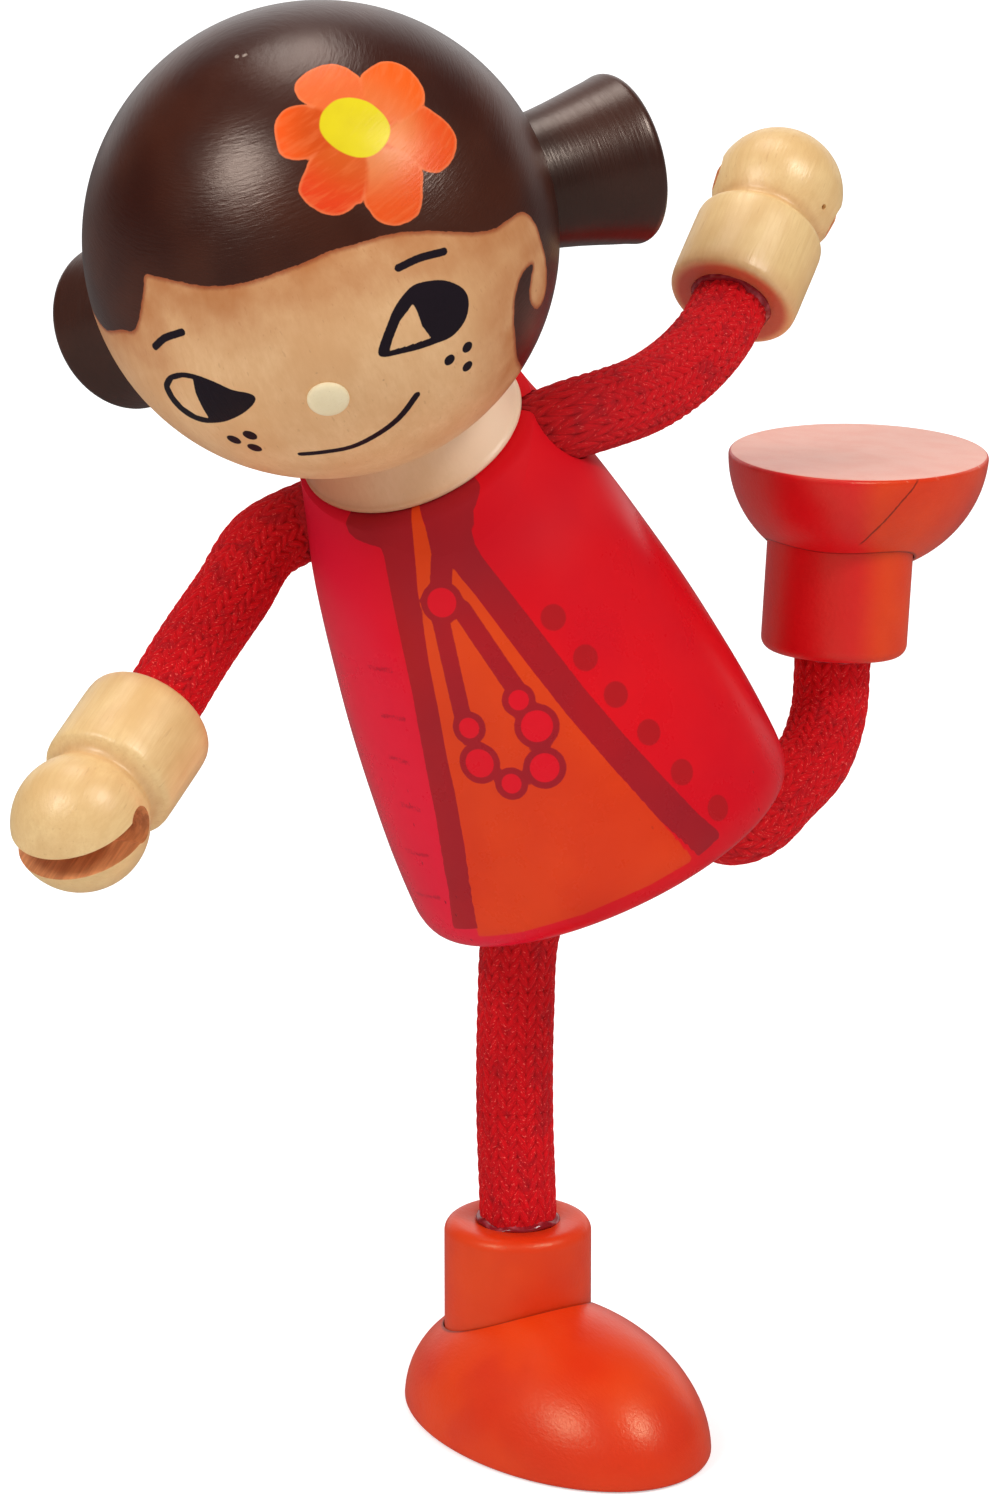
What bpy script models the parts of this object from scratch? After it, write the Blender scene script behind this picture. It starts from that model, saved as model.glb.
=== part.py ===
"""A bendy doll: turned wooden pieces joined by thick braided cords with a soft wire inside.

World frame: metres, +Z up, the doll's front looks along -Y, the origin is the middle of the
standing shoe's sole. Local frames of the doll's pieces use X = the doll's left, Z = up.
"""
import math

import bmesh
import bpy
from mathutils import Matrix, Vector

MM = 0.001

# driving dimensions, in millimetres

CLEARANCE = 0.3            # left between every two pieces that touch or sit in each other

# head ball, nose, buns
HEAD_RADIUS = 15.85
NOSE_RADIUS = 1.38
NOSE_TIP = 16.30           # from the head's centre
NOSE_ROOT = 11.60
NOSE_DOWN_DEG = 3.1        # below the head's middle line
BUN_INNER_RADIUS = 4.52
BUN_OUTER_RADIUS = 5.78
BUN_END = 22.45            # flat end, from the head's centre
BUN_ROUND = 0.75
BUN_DOWEL_RADIUS = 1.5
BUN_DOWEL_FROM = 10.0
BUN_DOWEL_TO = 18.5

# collar and neck dowel
COLLAR_RADIUS = 7.92
COLLAR_TOP_RADIUS = 7.22
COLLAR_LIP = 0.38
NECK_DOWEL_RADIUS = 2.0
NECK_DOWEL_DOWN = 8.2
NECK_DOWEL_UP = 8.5

# torso bell: height above its base and radius
TORSO_PROFILE = [
    (0.0, 12.30), (0.5, 13.30), (1.6, 13.85), (2.9, 13.95), (7.5, 13.75), (14.0, 13.00),
    (20.3, 11.95), (27.1, 10.50), (33.4, 8.40), (36.0, 8.05), (39.0, 7.90),
]
SHOULDER_ROUND = 0.8       # drop of the rounded shoulder around the collar
SHOULDER_HEIGHT = 30.4     # of the arm sockets above the base
ARM_SOCKET_FROM = 4.5      # inner end of an arm socket, from the torso's axis
LEG_SPREAD = 6.2           # leg sockets left and right of the torso's axis
LEFT_LEG_BACK = 4.0        # the left one lies this far further back
LEG_SOCKET_DEPTH = 6.3

# cord and wire
CORD_RADIUS = 2.7
CORD_BORE_RADIUS = 0.9
WIRE_RADIUS = 0.5
WIRE_SHORTER = 1.0         # at each end
CORD_STEPS = 2             # sampled points in each stretch of a route

# hand
HAND_SLEEVE_RADIUS = 4.62
HAND_MOUTH_RADIUS = 4.2
HAND_SLEEVE_END = 6.6
HAND_GROOVE_RADIUS = 3.7
HAND_GROOVE_AT = 7.3
HAND_BALL_RADIUS = 4.65
HAND_BALL_AT = 10.25
HAND_SOCKET_DEPTH = 6.2
GRIP_SLOT_WIDTH = 1.8
GRIP_SLOT_ROOT = 9.75       # how far back the slot runs, from the hand's mouth
GRIP_HOLE_RADIUS = 1.25

# shoe and cuff
SHOE_HALF_LENGTH = 14.2
SHOE_HALF_WIDTH = 9.1
SHOE_HEIGHT = 8.6
SHOE_EDGE = 0.35
HEEL_OFFSET = 5.15         # cuff axis behind the sole's middle
CUFF_RADIUS = 5.05
CUFF_BOTTOM = 4.2
CUFF_TOP = 13.45
CUFF_ROUND = 0.9
CUFF_SOCKET_FLOOR = 8.1

# where the pieces stand, in millimetres

TORSO_BASE = Vector((3.756, 6.108, 40.194))
TORSO_UP = Vector((-0.405, -0.053, 0.913))
TORSO_LEFT = Vector((0.908, -0.141, 0.395))
NECK = Vector((-9.958, 3.413, 71.012))
HEAD = Vector((-15.879, -3.847, 85.935))
HEAD_LEFT = Vector((0.941, -0.118, 0.316))
BUN_LEFT = Vector((0.875, 0.461, 0.147))
BUN_RIGHT = Vector((-0.613, 0.676, -0.409))
HAND_RIGHT = Vector((-27.465, -8.538, 54.127))
HAND_RIGHT_OUT = Vector((-0.416, -0.785, -0.460))
HAND_RIGHT_FLAT = Vector((-0.247, -0.376, 0.919))    # across the grip slot
HAND_LEFT = Vector((12.201, 18.986, 76.626))
HAND_LEFT_OUT = Vector((0.340, 0.713, 0.613))
HAND_LEFT_FLAT = Vector((0.201, -0.692, 0.694))
SHOE_STANDING_TOE = Vector((0.530, -0.848, 0.0))
SHOE_RAISED = Vector((21.705, 24.766, 64.449))
SHOE_RAISED_SOLE = Vector((0.056, 0.090, 0.994))
SHOE_RAISED_TOE = Vector((0.239, 0.966, -0.101))

# cord routes, from the hole in the torso outwards
RIGHT_ARM_ROUTE = [
    (-12.93, 5.17, 66.04), (-15.38, 5.55, 64.97), (-17.83, 5.93, 63.91), (-19.90, 4.55, 63.10),
    (-22.31, 0.50, 60.36), (-24.81, -3.87, 57.55), (-27.13, -7.91, 54.49),
    (-28.30, -10.11, 53.21), (-29.54, -12.46, 51.83),
]
LEFT_ARM_ROUTE = [
    (-4.21, 3.82, 69.83), (-1.76, 3.44, 70.90), (0.95, 3.02, 72.08), (3.25, 4.78, 72.38),
    (5.96, 8.09, 72.60), (9.32, 13.05, 73.84), (11.93, 18.42, 76.13),
    (12.88, 20.41, 77.85), (13.90, 22.55, 79.69),
]
RIGHT_LEG_ROUTE = [
    (-4.31, 6.66, 43.22), (-3.09, 6.82, 40.48), (-1.70, 7.01, 37.35), (-2.55, 6.86, 34.00),
    (-2.88, 6.50, 28.50), (-2.95, 5.60, 21.31), (-2.73, 4.37, 14.20),
    (-2.73, 4.37, 11.00), (-2.73, 4.37, 8.40),
]
LEFT_LEG_ROUTE = [
    (7.39, 8.87, 48.54), (9.01, 9.08, 44.89), (9.82, 9.19, 43.06), (10.94, 9.58, 41.53),
    (12.50, 10.45, 40.77), (14.21, 11.68, 41.05), (15.85, 13.20, 42.30), (18.30, 15.80, 44.35),
    (19.35, 17.50, 46.90), (19.67, 18.50, 50.60), (19.99, 18.99, 56.62),
]

# the three points on each cord's middle line where the limb bends; they are the origins of
# the cord, its wire and the end piece
RIGHT_ARM_BENDS = [(-19.33, 5.04, 63.36), (-23.02, -0.73, 59.57), (-26.37, -6.56, 55.45)]
LEFT_ARM_BENDS = [(2.21, 4.04, 72.24), (7.52, 10.20, 73.02), (11.31, 17.07, 75.33)]
RIGHT_LEG_BENDS = [(-2.32, 6.91, 34.85), (-2.95, 6.23, 25.93), (-2.81, 4.76, 17.06)]
LEFT_LEG_BENDS = [(11.71, 9.98, 41.03), (17.30, 14.66, 43.34), (19.55, 17.98, 48.23)]

# steps around a turned piece

STEPS_LARGE = 40
STEPS_MIDDLE = 28
STEPS_SMALL = 20
SHARP_DEG = 38.0
WELD = 1e-6


# helpers

def clear_scene():
    for thing in list(bpy.data.objects):
        bpy.data.objects.remove(thing, do_unlink=True)
    for mesh in list(bpy.data.meshes):
        bpy.data.meshes.remove(mesh)


def frame(place, up, side=None):
    """Matrix of a local frame at `place` with Z along `up` and X as near `side` as it can be."""
    z = up.normalized()
    x = side if side is not None else Vector((1.0, 0.0, 0.0))
    x = (x - z * x.dot(z)).normalized()
    y = z.cross(x)
    turn = Matrix((x, y, z)).transposed().to_4x4()
    return Matrix.Translation(place * MM) @ turn


def add(name, mesh, matrix):
    obj = bpy.data.objects.new(name, mesh)
    obj.matrix_world = matrix
    bpy.context.collection.objects.link(obj)
    return obj


def turned(name, profile, matrix, steps):
    """A lathe piece: the (radius, height) outline is spun once around the local Z axis."""
    mesh = bpy.data.meshes.new(name)
    shape = bmesh.new()
    points = [shape.verts.new((r * MM, 0.0, z * MM)) for r, z in profile]
    pairs = list(zip(points, points[1:]))
    closed_by_axis = profile[0][0] == 0.0 and profile[-1][0] == 0.0
    if not closed_by_axis:
        pairs.append((points[-1], points[0]))
    edges = [shape.edges.new(pair) for pair in pairs]
    bmesh.ops.spin(shape, geom=points + edges, cent=(0, 0, 0), axis=(0, 0, 1),
                   angle=2.0 * math.pi, steps=steps, use_duplicate=False)
    bmesh.ops.remove_doubles(shape, verts=shape.verts, dist=WELD)
    bmesh.ops.recalc_face_normals(shape, faces=shape.faces)
    shape.to_mesh(mesh)
    shape.free()
    return add(name, mesh, matrix)


def arc(centre, radius, start_deg, end_deg, count):
    """Points (radius, height) on a circle in the outline plane; 90 degrees is straight up."""
    made = []
    for i in range(count + 1):
        a = math.radians(start_deg + (end_deg - start_deg) * i / count)
        made.append((centre[0] + radius * math.cos(a), centre[1] + radius * math.sin(a)))
    return made


def smooth_route(points, steps):
    """Points read from a smooth curve through the hand-chosen ones (spaced by distance)."""
    p = [Vector(v) for v in points]
    p = [p[0] * 2 - p[1]] + p + [p[-1] * 2 - p[-2]]
    made = []
    for i in range(1, len(p) - 2):
        knots = [0.0]
        for j in range(3):
            knots.append(knots[-1] + (p[i + j] - p[i + j - 1]).length)
        for k in range(steps):
            made.append(curve_point(p[i - 1:i + 3], knots, k / steps))
    made.append(p[-2].copy())
    return made


def curve_point(p, knots, part):
    """One point of the stretch between p[1] and p[2]."""
    t = knots[1] + (knots[2] - knots[1]) * part

    def mix(a, b, ta, tb):
        return a * ((tb - t) / (tb - ta)) + b * ((t - ta) / (tb - ta))

    first = [mix(p[j], p[j + 1], knots[j], knots[j + 1]) for j in range(3)]
    second = [mix(first[j], first[j + 1], knots[j], knots[j + 2]) for j in range(2)]
    return mix(second[0], second[1], knots[1], knots[2])


def tube(name, points, radius, resolution):
    """A round bar along a route, made as a curve with a bevel and turned into a mesh."""
    curve = bpy.data.curves.new(name, "CURVE")
    curve.dimensions = "3D"
    curve.twist_mode = "MINIMUM"
    curve.bevel_depth = radius * MM
    curve.bevel_resolution = resolution
    curve.use_fill_caps = True
    line = curve.splines.new("POLY")
    line.points.add(len(points) - 1)
    for spot, point in zip(line.points, points):
        spot.co = (point.x * MM, point.y * MM, point.z * MM, 1.0)
    holder = bpy.data.objects.new(name + "_line", curve)
    bpy.context.collection.objects.link(holder)
    bpy.context.view_layer.update()
    seen = holder.evaluated_get(bpy.context.evaluated_depsgraph_get())
    mesh = bpy.data.meshes.new_from_object(seen)
    mesh.name = name
    bpy.data.objects.remove(holder, do_unlink=True)
    shape = bmesh.new()
    shape.from_mesh(mesh)
    bmesh.ops.remove_doubles(shape, verts=shape.verts, dist=WELD)
    bmesh.ops.recalc_face_normals(shape, faces=shape.faces)
    shape.to_mesh(mesh)
    shape.free()
    return add(name, mesh, Matrix.Identity(4))


def lengthened(points, more):
    """The same route with both ends drawn out straight."""
    first = points[0] + (points[0] - points[1]).normalized() * more
    last = points[-1] + (points[-1] - points[-2]).normalized() * more
    return [first] + points + [last]


def shortened(points, less):
    """The same route with both ends cut back along their straight stretch."""
    first = points[0] + (points[1] - points[0]).normalized() * less
    last = points[-1] + (points[-2] - points[-1]).normalized() * less
    return [first] + points[1:-1] + [last]


def bar(name, matrix, radius, low, high, steps=STEPS_SMALL):
    """A plain round bar on the local Z axis."""
    return turned(name, [(0.0, low), (radius, low), (radius, high), (0.0, high)], matrix, steps)


def cut(obj, cutters):
    """Take the cutters out of the piece with exact Booleans, then drop them."""
    for cutter in cutters:
        cutter.hide_render = True
        cutter.display_type = "WIRE"
        step = obj.modifiers.new("cut_" + cutter.name, "BOOLEAN")
        step.operation = "DIFFERENCE"
        step.solver = "EXACT"
        step.object = cutter
    settle(obj)
    for cutter in cutters:
        bpy.data.objects.remove(cutter, do_unlink=True)


def settle(obj):
    """Apply the piece's modifiers."""
    bpy.context.view_layer.update()
    seen = obj.evaluated_get(bpy.context.evaluated_depsgraph_get())
    mesh = bpy.data.meshes.new_from_object(seen)
    obj.modifiers.clear()
    obj.data = mesh


def finish(obj, colour, roughness):
    """Give the piece its own material and its shading."""
    obj.data.name = obj.name
    obj.data.shade_smooth()
    obj.data.set_sharp_from_angle(angle=math.radians(SHARP_DEG))
    material = bpy.data.materials.new(obj.name + "_finish")
    material.use_nodes = True
    surface = material.node_tree.nodes["Principled BSDF"]
    surface.inputs["Base Color"].default_value = (*colour, 1.0)
    surface.inputs["Roughness"].default_value = roughness
    material.diffuse_color = (*colour, 1.0)
    obj.data.materials.clear()
    obj.data.materials.append(material)


def move_origin(obj, point):
    """Put the piece's origin on a point, the shape stays where it is."""
    place = Vector(point) * MM
    inside = obj.matrix_world.inverted() @ place
    obj.data.transform(Matrix.Translation(-inside))
    obj.matrix_world.translation = place


# colours

PALE_WOOD = (0.72, 0.52, 0.31)
HAIR_BROWN = (0.055, 0.024, 0.014)
COAT_RED = (0.62, 0.028, 0.030)
CORD_RED = (0.47, 0.022, 0.026)
SHOE_RED = (0.64, 0.060, 0.025)
WIRE_GREY = (0.45, 0.45, 0.46)

# frames

TORSO_FRAME = frame(TORSO_BASE, TORSO_UP, TORSO_LEFT)
NECK_UP = (HEAD - NECK).normalized()
NECK_FRAME = frame(NECK, NECK_UP, HEAD_LEFT)
HEAD_FRAME = frame(HEAD, NECK_UP, HEAD_LEFT)
HEAD_ABOVE_NECK = (HEAD - NECK).length
SHOULDER = TORSO_BASE + TORSO_UP * SHOULDER_HEIGHT


def shoe_frame(middle, up, toe):
    return frame(middle, up, toe)


def socket_cutter(name, mouth, inward, depth):
    """A round socket for a cord end, drilled from outside the piece."""
    outside = 6.0
    return bar(name, frame(mouth, inward), CORD_RADIUS + CLEARANCE, -outside, depth, STEPS_MIDDLE)


# torso

def make_torso():
    profile = [(0.0, TORSO_PROFILE[0][0])]
    profile += [(r, z) for z, r in TORSO_PROFILE]
    profile += [(0.0, TORSO_PROFILE[-1][0])]
    torso = turned("torso", profile, TORSO_FRAME, STEPS_LARGE)

    top = -CLEARANCE
    high = 14.0
    wide = 13.0
    slant = [
        (0.0, top), (7.9, top), (8.5, top - 0.15 * SHOULDER_ROUND),
        (9.0, top - 0.5 * SHOULDER_ROUND), (9.35, top - SHOULDER_ROUND),
        (wide, top - SHOULDER_ROUND - (wide - 9.35)), (wide, high), (0.0, high),
    ]
    slant_cut = turned("slant_cut", slant, NECK_FRAME, STEPS_LARGE)
    neck_cut = bar("neck_cut", NECK_FRAME, NECK_DOWEL_RADIUS + CLEARANCE,
                   -NECK_DOWEL_DOWN - CLEARANCE, 2.0)
    cutters = [slant_cut, neck_cut]
    for label, side in (("left", 1.0), ("right", -1.0)):
        out = TORSO_LEFT * side
        arm_mouth = SHOULDER + out * 12.0
        cutters.append(socket_cutter(label + "_arm_cut", arm_mouth, -out,
                                     12.0 - ARM_SOCKET_FROM))
        leg_mouth = TORSO_BASE + out * LEG_SPREAD
        if side > 0.0:
            leg_mouth += TORSO_UP.cross(TORSO_LEFT).normalized() * LEFT_LEG_BACK
        cutters.append(socket_cutter(label + "_leg_cut", leg_mouth, TORSO_UP,
                                     LEG_SOCKET_DEPTH))
    cut(torso, cutters)
    finish(torso, COAT_RED, 0.30)


# neck

def make_neck():
    hollow = HEAD_RADIUS + CLEARANCE
    hole = NECK_DOWEL_RADIUS + CLEARANCE
    rim = COLLAR_TOP_RADIUS - 0.22
    profile = [
        (hole, 0.0), (COLLAR_RADIUS - 0.25, 0.0), (COLLAR_RADIUS, 0.10),
        (COLLAR_RADIUS, COLLAR_LIP), (COLLAR_RADIUS - 0.17, COLLAR_LIP + 0.12),
        (COLLAR_TOP_RADIUS, 2.75), (COLLAR_TOP_RADIUS - 0.05, 2.98),
    ]
    hollow_points = 4
    for i in range(hollow_points + 1):
        r = rim + (hole - rim) * i / hollow_points
        profile.append((r, HEAD_ABOVE_NECK - math.sqrt(hollow ** 2 - r ** 2)))
    collar = turned("neck_collar", profile, NECK_FRAME, STEPS_LARGE)
    finish(collar, PALE_WOOD, 0.35)

    dowel = bar("neck_dowel", NECK_FRAME, NECK_DOWEL_RADIUS, -NECK_DOWEL_DOWN, NECK_DOWEL_UP)
    finish(dowel, PALE_WOOD, 0.6)


# head

def bun_frame(direction):
    return frame(HEAD, direction, NECK_UP)


def nose_frame():
    front = HEAD_FRAME.to_3x3() @ Vector((0.0, -1.0, 0.0))
    down = math.radians(NOSE_DOWN_DEG)
    return frame(HEAD, front * math.cos(down) - NECK_UP * math.sin(down), HEAD_LEFT)


def make_head():
    mesh = bpy.data.meshes.new("head")
    shape = bmesh.new()
    bmesh.ops.create_uvsphere(shape, u_segments=STEPS_LARGE, v_segments=STEPS_LARGE // 2,
                              radius=HEAD_RADIUS * MM)
    shape.to_mesh(mesh)
    shape.free()
    head = add("head", mesh, HEAD_FRAME)

    neck_hole = bar("neck_hole", NECK_FRAME, NECK_DOWEL_RADIUS + CLEARANCE,
                    -2.0, NECK_DOWEL_UP + CLEARANCE)
    nose_hole = bar("nose_hole", nose_frame(), NOSE_RADIUS + CLEARANCE,
                    NOSE_ROOT - CLEARANCE, 20.0)
    holes = [neck_hole, nose_hole]
    for label, direction in (("left", BUN_LEFT), ("right", BUN_RIGHT)):
        holes.append(bar(label + "_bun_hole", bun_frame(direction),
                         BUN_DOWEL_RADIUS + CLEARANCE, BUN_DOWEL_FROM - CLEARANCE, 20.0))
    cut(head, holes)
    finish(head, HAIR_BROWN, 0.22)

    side = math.sqrt(HEAD_RADIUS ** 2 - NOSE_RADIUS ** 2)
    nose_profile = [
        (0.0, NOSE_ROOT), (NOSE_RADIUS, NOSE_ROOT), (NOSE_RADIUS, side),
        (NOSE_RADIUS * 0.86, NOSE_TIP - 0.22), (NOSE_RADIUS * 0.5, NOSE_TIP - 0.05),
        (0.0, NOSE_TIP),
    ]
    nose = turned("nose_peg", nose_profile, nose_frame(), STEPS_SMALL)
    finish(nose, PALE_WOOD, 0.35)

    seat = HEAD_RADIUS + CLEARANCE
    hole = BUN_DOWEL_RADIUS + CLEARANCE
    bottom = BUN_DOWEL_TO + CLEARANCE
    middle = (BUN_INNER_RADIUS + hole) / 2.0
    bun_profile = [
        (0.0, bottom), (hole, bottom), (hole, math.sqrt(seat ** 2 - hole ** 2)),
        (middle, math.sqrt(seat ** 2 - middle ** 2)),
        (BUN_INNER_RADIUS, math.sqrt(seat ** 2 - BUN_INNER_RADIUS ** 2)),
        (BUN_INNER_RADIUS + 0.28, 17.4), (BUN_OUTER_RADIUS - 0.42, 19.9),
    ]
    edge = (BUN_OUTER_RADIUS - BUN_ROUND, BUN_END - BUN_ROUND)
    bun_profile += arc(edge, BUN_ROUND, -8.0, 90.0, 4)
    bun_profile += [(0.0, BUN_END)]
    for label, direction in (("left", BUN_LEFT), ("right", BUN_RIGHT)):
        bun = turned(label + "_bun", bun_profile, bun_frame(direction), STEPS_MIDDLE)
        finish(bun, HAIR_BROWN, 0.25)
        dowel = bar(label + "_bun_dowel", bun_frame(direction), BUN_DOWEL_RADIUS,
                    BUN_DOWEL_FROM, BUN_DOWEL_TO)
        finish(dowel, PALE_WOOD, 0.6)


# limbs

def make_cord(label, route, bends):
    line = smooth_route(route, CORD_STEPS)
    cord = tube(label + "_cord", line, CORD_RADIUS, 4)
    bore = tube(label + "_bore", lengthened(line, 2.0), CORD_BORE_RADIUS, 2)
    cut(cord, [bore])
    finish(cord, CORD_RED, 0.8)
    move_origin(cord, bends[0])
    wire = tube(label + "_wire", shortened(line, WIRE_SHORTER), WIRE_RADIUS, 1)
    finish(wire, WIRE_GREY, 0.4)
    move_origin(wire, bends[1])


def make_hand(label, mouth, out, across, bend):
    place = frame(mouth, out, across)
    ball_start = math.degrees(math.asin((HAND_GROOVE_AT + 0.25 - HAND_BALL_AT)
                                        / HAND_BALL_RADIUS))
    profile = [
        (0.0, HAND_SOCKET_DEPTH), (CORD_RADIUS + CLEARANCE, HAND_SOCKET_DEPTH),
        (CORD_RADIUS + CLEARANCE, 0.0), (HAND_MOUTH_RADIUS, 0.0),
        (HAND_SLEEVE_RADIUS - 0.18, 0.22), (HAND_SLEEVE_RADIUS, 0.65),
        (HAND_SLEEVE_RADIUS, HAND_SLEEVE_END - 0.3),
        (HAND_SLEEVE_RADIUS - 0.22, HAND_SLEEVE_END),
        (HAND_GROOVE_RADIUS + 0.08, HAND_GROOVE_AT - 0.22),
        (HAND_GROOVE_RADIUS, HAND_GROOVE_AT),
    ]
    profile += arc((0.0, HAND_BALL_AT), HAND_BALL_RADIUS, ball_start, 90.0, 9)[:-1]
    profile += [(0.0, HAND_BALL_AT + HAND_BALL_RADIUS)]
    hand = turned(label + "_hand", profile, place, STEPS_MIDDLE)

    # the grip slot: a saw cut from the ball's tip, ending in a drilled cross hole
    half = GRIP_SLOT_WIDTH / 2.0
    reach = HAND_BALL_RADIUS + 2.0
    tip = HAND_BALL_AT + HAND_BALL_RADIUS + 2.0
    corner = math.sqrt(GRIP_HOLE_RADIUS ** 2 - half ** 2)
    angle = math.degrees(math.asin(corner / GRIP_HOLE_RADIUS))
    round_end = arc((0.0, GRIP_SLOT_ROOT), GRIP_HOLE_RADIUS, angle, -180.0 - angle, 10)
    outline = [(half, tip)] + round_end + [(-half, tip)]
    mesh = bpy.data.meshes.new("slot")
    shape = bmesh.new()
    ring = [shape.verts.new((x * MM, -reach * MM, z * MM)) for x, z in outline]
    face = shape.faces.new(ring)
    pushed = bmesh.ops.extrude_face_region(shape, geom=[face])
    moved = [v for v in pushed["geom"] if isinstance(v, bmesh.types.BMVert)]
    bmesh.ops.translate(shape, verts=moved, vec=(0.0, 2.0 * reach * MM, 0.0))
    bmesh.ops.recalc_face_normals(shape, faces=shape.faces)
    shape.to_mesh(mesh)
    shape.free()
    slot = add(label + "_slot", mesh, place)
    cut(hand, [slot])
    finish(hand, PALE_WOOD, 0.35)
    move_origin(hand, bend)


def make_foot(label, place, bend):
    """A shoe with its ankle cuff."""
    mesh = bpy.data.meshes.new(label + "_shoe")
    shape = bmesh.new()
    bmesh.ops.create_uvsphere(shape, u_segments=STEPS_LARGE, v_segments=STEPS_SMALL, radius=1.0)
    below = [v for v in shape.verts if v.co.z < -WELD]
    bmesh.ops.delete(shape, geom=below, context="VERTS")
    bmesh.ops.scale(shape, verts=shape.verts, vec=(SHOE_HALF_LENGTH * MM, SHOE_HALF_WIDTH * MM,
                                                   SHOE_HEIGHT * MM))
    rim = [e for e in shape.edges if e.is_boundary]
    bmesh.ops.contextual_create(shape, geom=rim)
    rim = [e for e in shape.edges if all(abs(v.co.z) < WELD for v in e.verts)]
    bmesh.ops.bevel(shape, geom=rim, offset=SHOE_EDGE * MM, segments=2, profile=0.5,
                    affect="EDGES")
    bmesh.ops.recalc_face_normals(shape, faces=shape.faces)
    shape.to_mesh(mesh)
    shape.free()
    shoe = add(label + "_shoe", mesh, place)

    heel = place @ Matrix.Translation(Vector((-HEEL_OFFSET * MM, 0.0, 0.0)))
    recess = bar(label + "_recess", heel, CUFF_RADIUS + CLEARANCE, CUFF_BOTTOM - CLEARANCE,
                 CUFF_TOP, STEPS_LARGE)
    cut(shoe, [recess])
    finish(shoe, SHOE_RED, 0.28)

    hole = CORD_RADIUS + CLEARANCE
    profile = [
        (0.0, CUFF_SOCKET_FLOOR), (hole, CUFF_SOCKET_FLOOR), (hole, CUFF_TOP - 0.25),
        (hole + 0.25, CUFF_TOP),
    ]
    edge = (CUFF_RADIUS - CUFF_ROUND, CUFF_TOP - CUFF_ROUND)
    profile += arc(edge, CUFF_ROUND, 90.0, 0.0, 4)
    profile += [(CUFF_RADIUS, CUFF_BOTTOM), (0.0, CUFF_BOTTOM)]
    cuff = turned(label + "_ankle_cuff", profile, heel, STEPS_MIDDLE)
    finish(cuff, SHOE_RED, 0.28)
    move_origin(shoe, bend)
    move_origin(cuff, bend)


def make_limbs():
    make_cord("right_arm", RIGHT_ARM_ROUTE, RIGHT_ARM_BENDS)
    make_cord("left_arm", LEFT_ARM_ROUTE, LEFT_ARM_BENDS)
    make_cord("right_leg", RIGHT_LEG_ROUTE, RIGHT_LEG_BENDS)
    make_cord("left_leg", LEFT_LEG_ROUTE, LEFT_LEG_BENDS)
    make_hand("right", HAND_RIGHT, HAND_RIGHT_OUT, HAND_RIGHT_FLAT, RIGHT_ARM_BENDS[2])
    make_hand("left", HAND_LEFT, HAND_LEFT_OUT, HAND_LEFT_FLAT, LEFT_ARM_BENDS[2])
    standing = shoe_frame(Vector((0.0, 0.0, 0.0)), Vector((0.0, 0.0, 1.0)), SHOE_STANDING_TOE)
    raised = shoe_frame(SHOE_RAISED, -SHOE_RAISED_SOLE, SHOE_RAISED_TOE)
    make_foot("right", standing, RIGHT_LEG_BENDS[2])
    make_foot("left", raised, LEFT_LEG_BENDS[2])


clear_scene()
make_torso()
make_neck()
make_head()
make_limbs()
bpy.context.view_layer.update()
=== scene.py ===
# %% [markdown]
# # A bendy wooden doll
#
# The doll is turned wood and braided cord. A ball head sits in a hollow collar on a
# slanted bell of a body. Arms and legs are thick braided cords with a soft wire inside,
# so they keep any bend. A measured model holds all pieces as plain solids at their
# sizes and places. This file dresses it, one step at a time: each solid gets its fine
# shape, its paint or its braid, and then its light.

# %% The measured model comes first
import math

import bmesh
import bpy
import numpy as np
from mathutils import Matrix, Vector


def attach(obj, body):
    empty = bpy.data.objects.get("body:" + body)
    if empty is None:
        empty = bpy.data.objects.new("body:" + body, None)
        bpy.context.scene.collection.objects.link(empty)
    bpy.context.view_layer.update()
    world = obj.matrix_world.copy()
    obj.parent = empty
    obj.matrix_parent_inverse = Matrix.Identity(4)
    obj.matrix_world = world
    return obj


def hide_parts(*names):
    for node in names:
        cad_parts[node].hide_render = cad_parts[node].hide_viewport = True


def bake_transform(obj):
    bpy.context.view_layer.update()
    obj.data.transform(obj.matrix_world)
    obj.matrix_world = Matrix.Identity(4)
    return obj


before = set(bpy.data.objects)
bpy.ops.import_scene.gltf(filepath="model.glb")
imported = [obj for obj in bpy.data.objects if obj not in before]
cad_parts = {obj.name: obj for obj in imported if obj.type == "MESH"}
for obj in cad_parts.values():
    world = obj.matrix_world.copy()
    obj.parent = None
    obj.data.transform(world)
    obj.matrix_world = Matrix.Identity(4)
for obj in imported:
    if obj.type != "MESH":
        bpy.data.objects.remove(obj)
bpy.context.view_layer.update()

# %% [markdown]
# ## Places and frames
#
# On the real doll every turned piece has an axis, the one it had on the lathe. A piece
# could be drawn slanted where it stands, but then every number would depend on the
# slant. It is easier to draw it upright at zero and to carry it to its place with one
# matrix. The places are the same as in the measured model, in millimetres; local X is
# the doll's left, Z is up.

# %% Places, axes and the helper that makes a frame
MM = 0.001

TORSO_BASE = Vector((3.756, 6.108, 40.194))
TORSO_UP = Vector((-0.405, -0.053, 0.913))
TORSO_LEFT = Vector((0.908, -0.141, 0.395))
NECK = Vector((-9.958, 3.413, 71.012))
HEAD = Vector((-15.879, -3.847, 85.935))
HEAD_LEFT = Vector((0.941, -0.118, 0.316))
BUN_LEFT = Vector((0.875, 0.461, 0.147))
BUN_RIGHT = Vector((-0.613, 0.676, -0.409))
NECK_UP = (HEAD - NECK).normalized()
HEAD_ABOVE_NECK = (HEAD - NECK).length
HEAD_RADIUS = 15.85
CORD_RADIUS = 2.7


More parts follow.
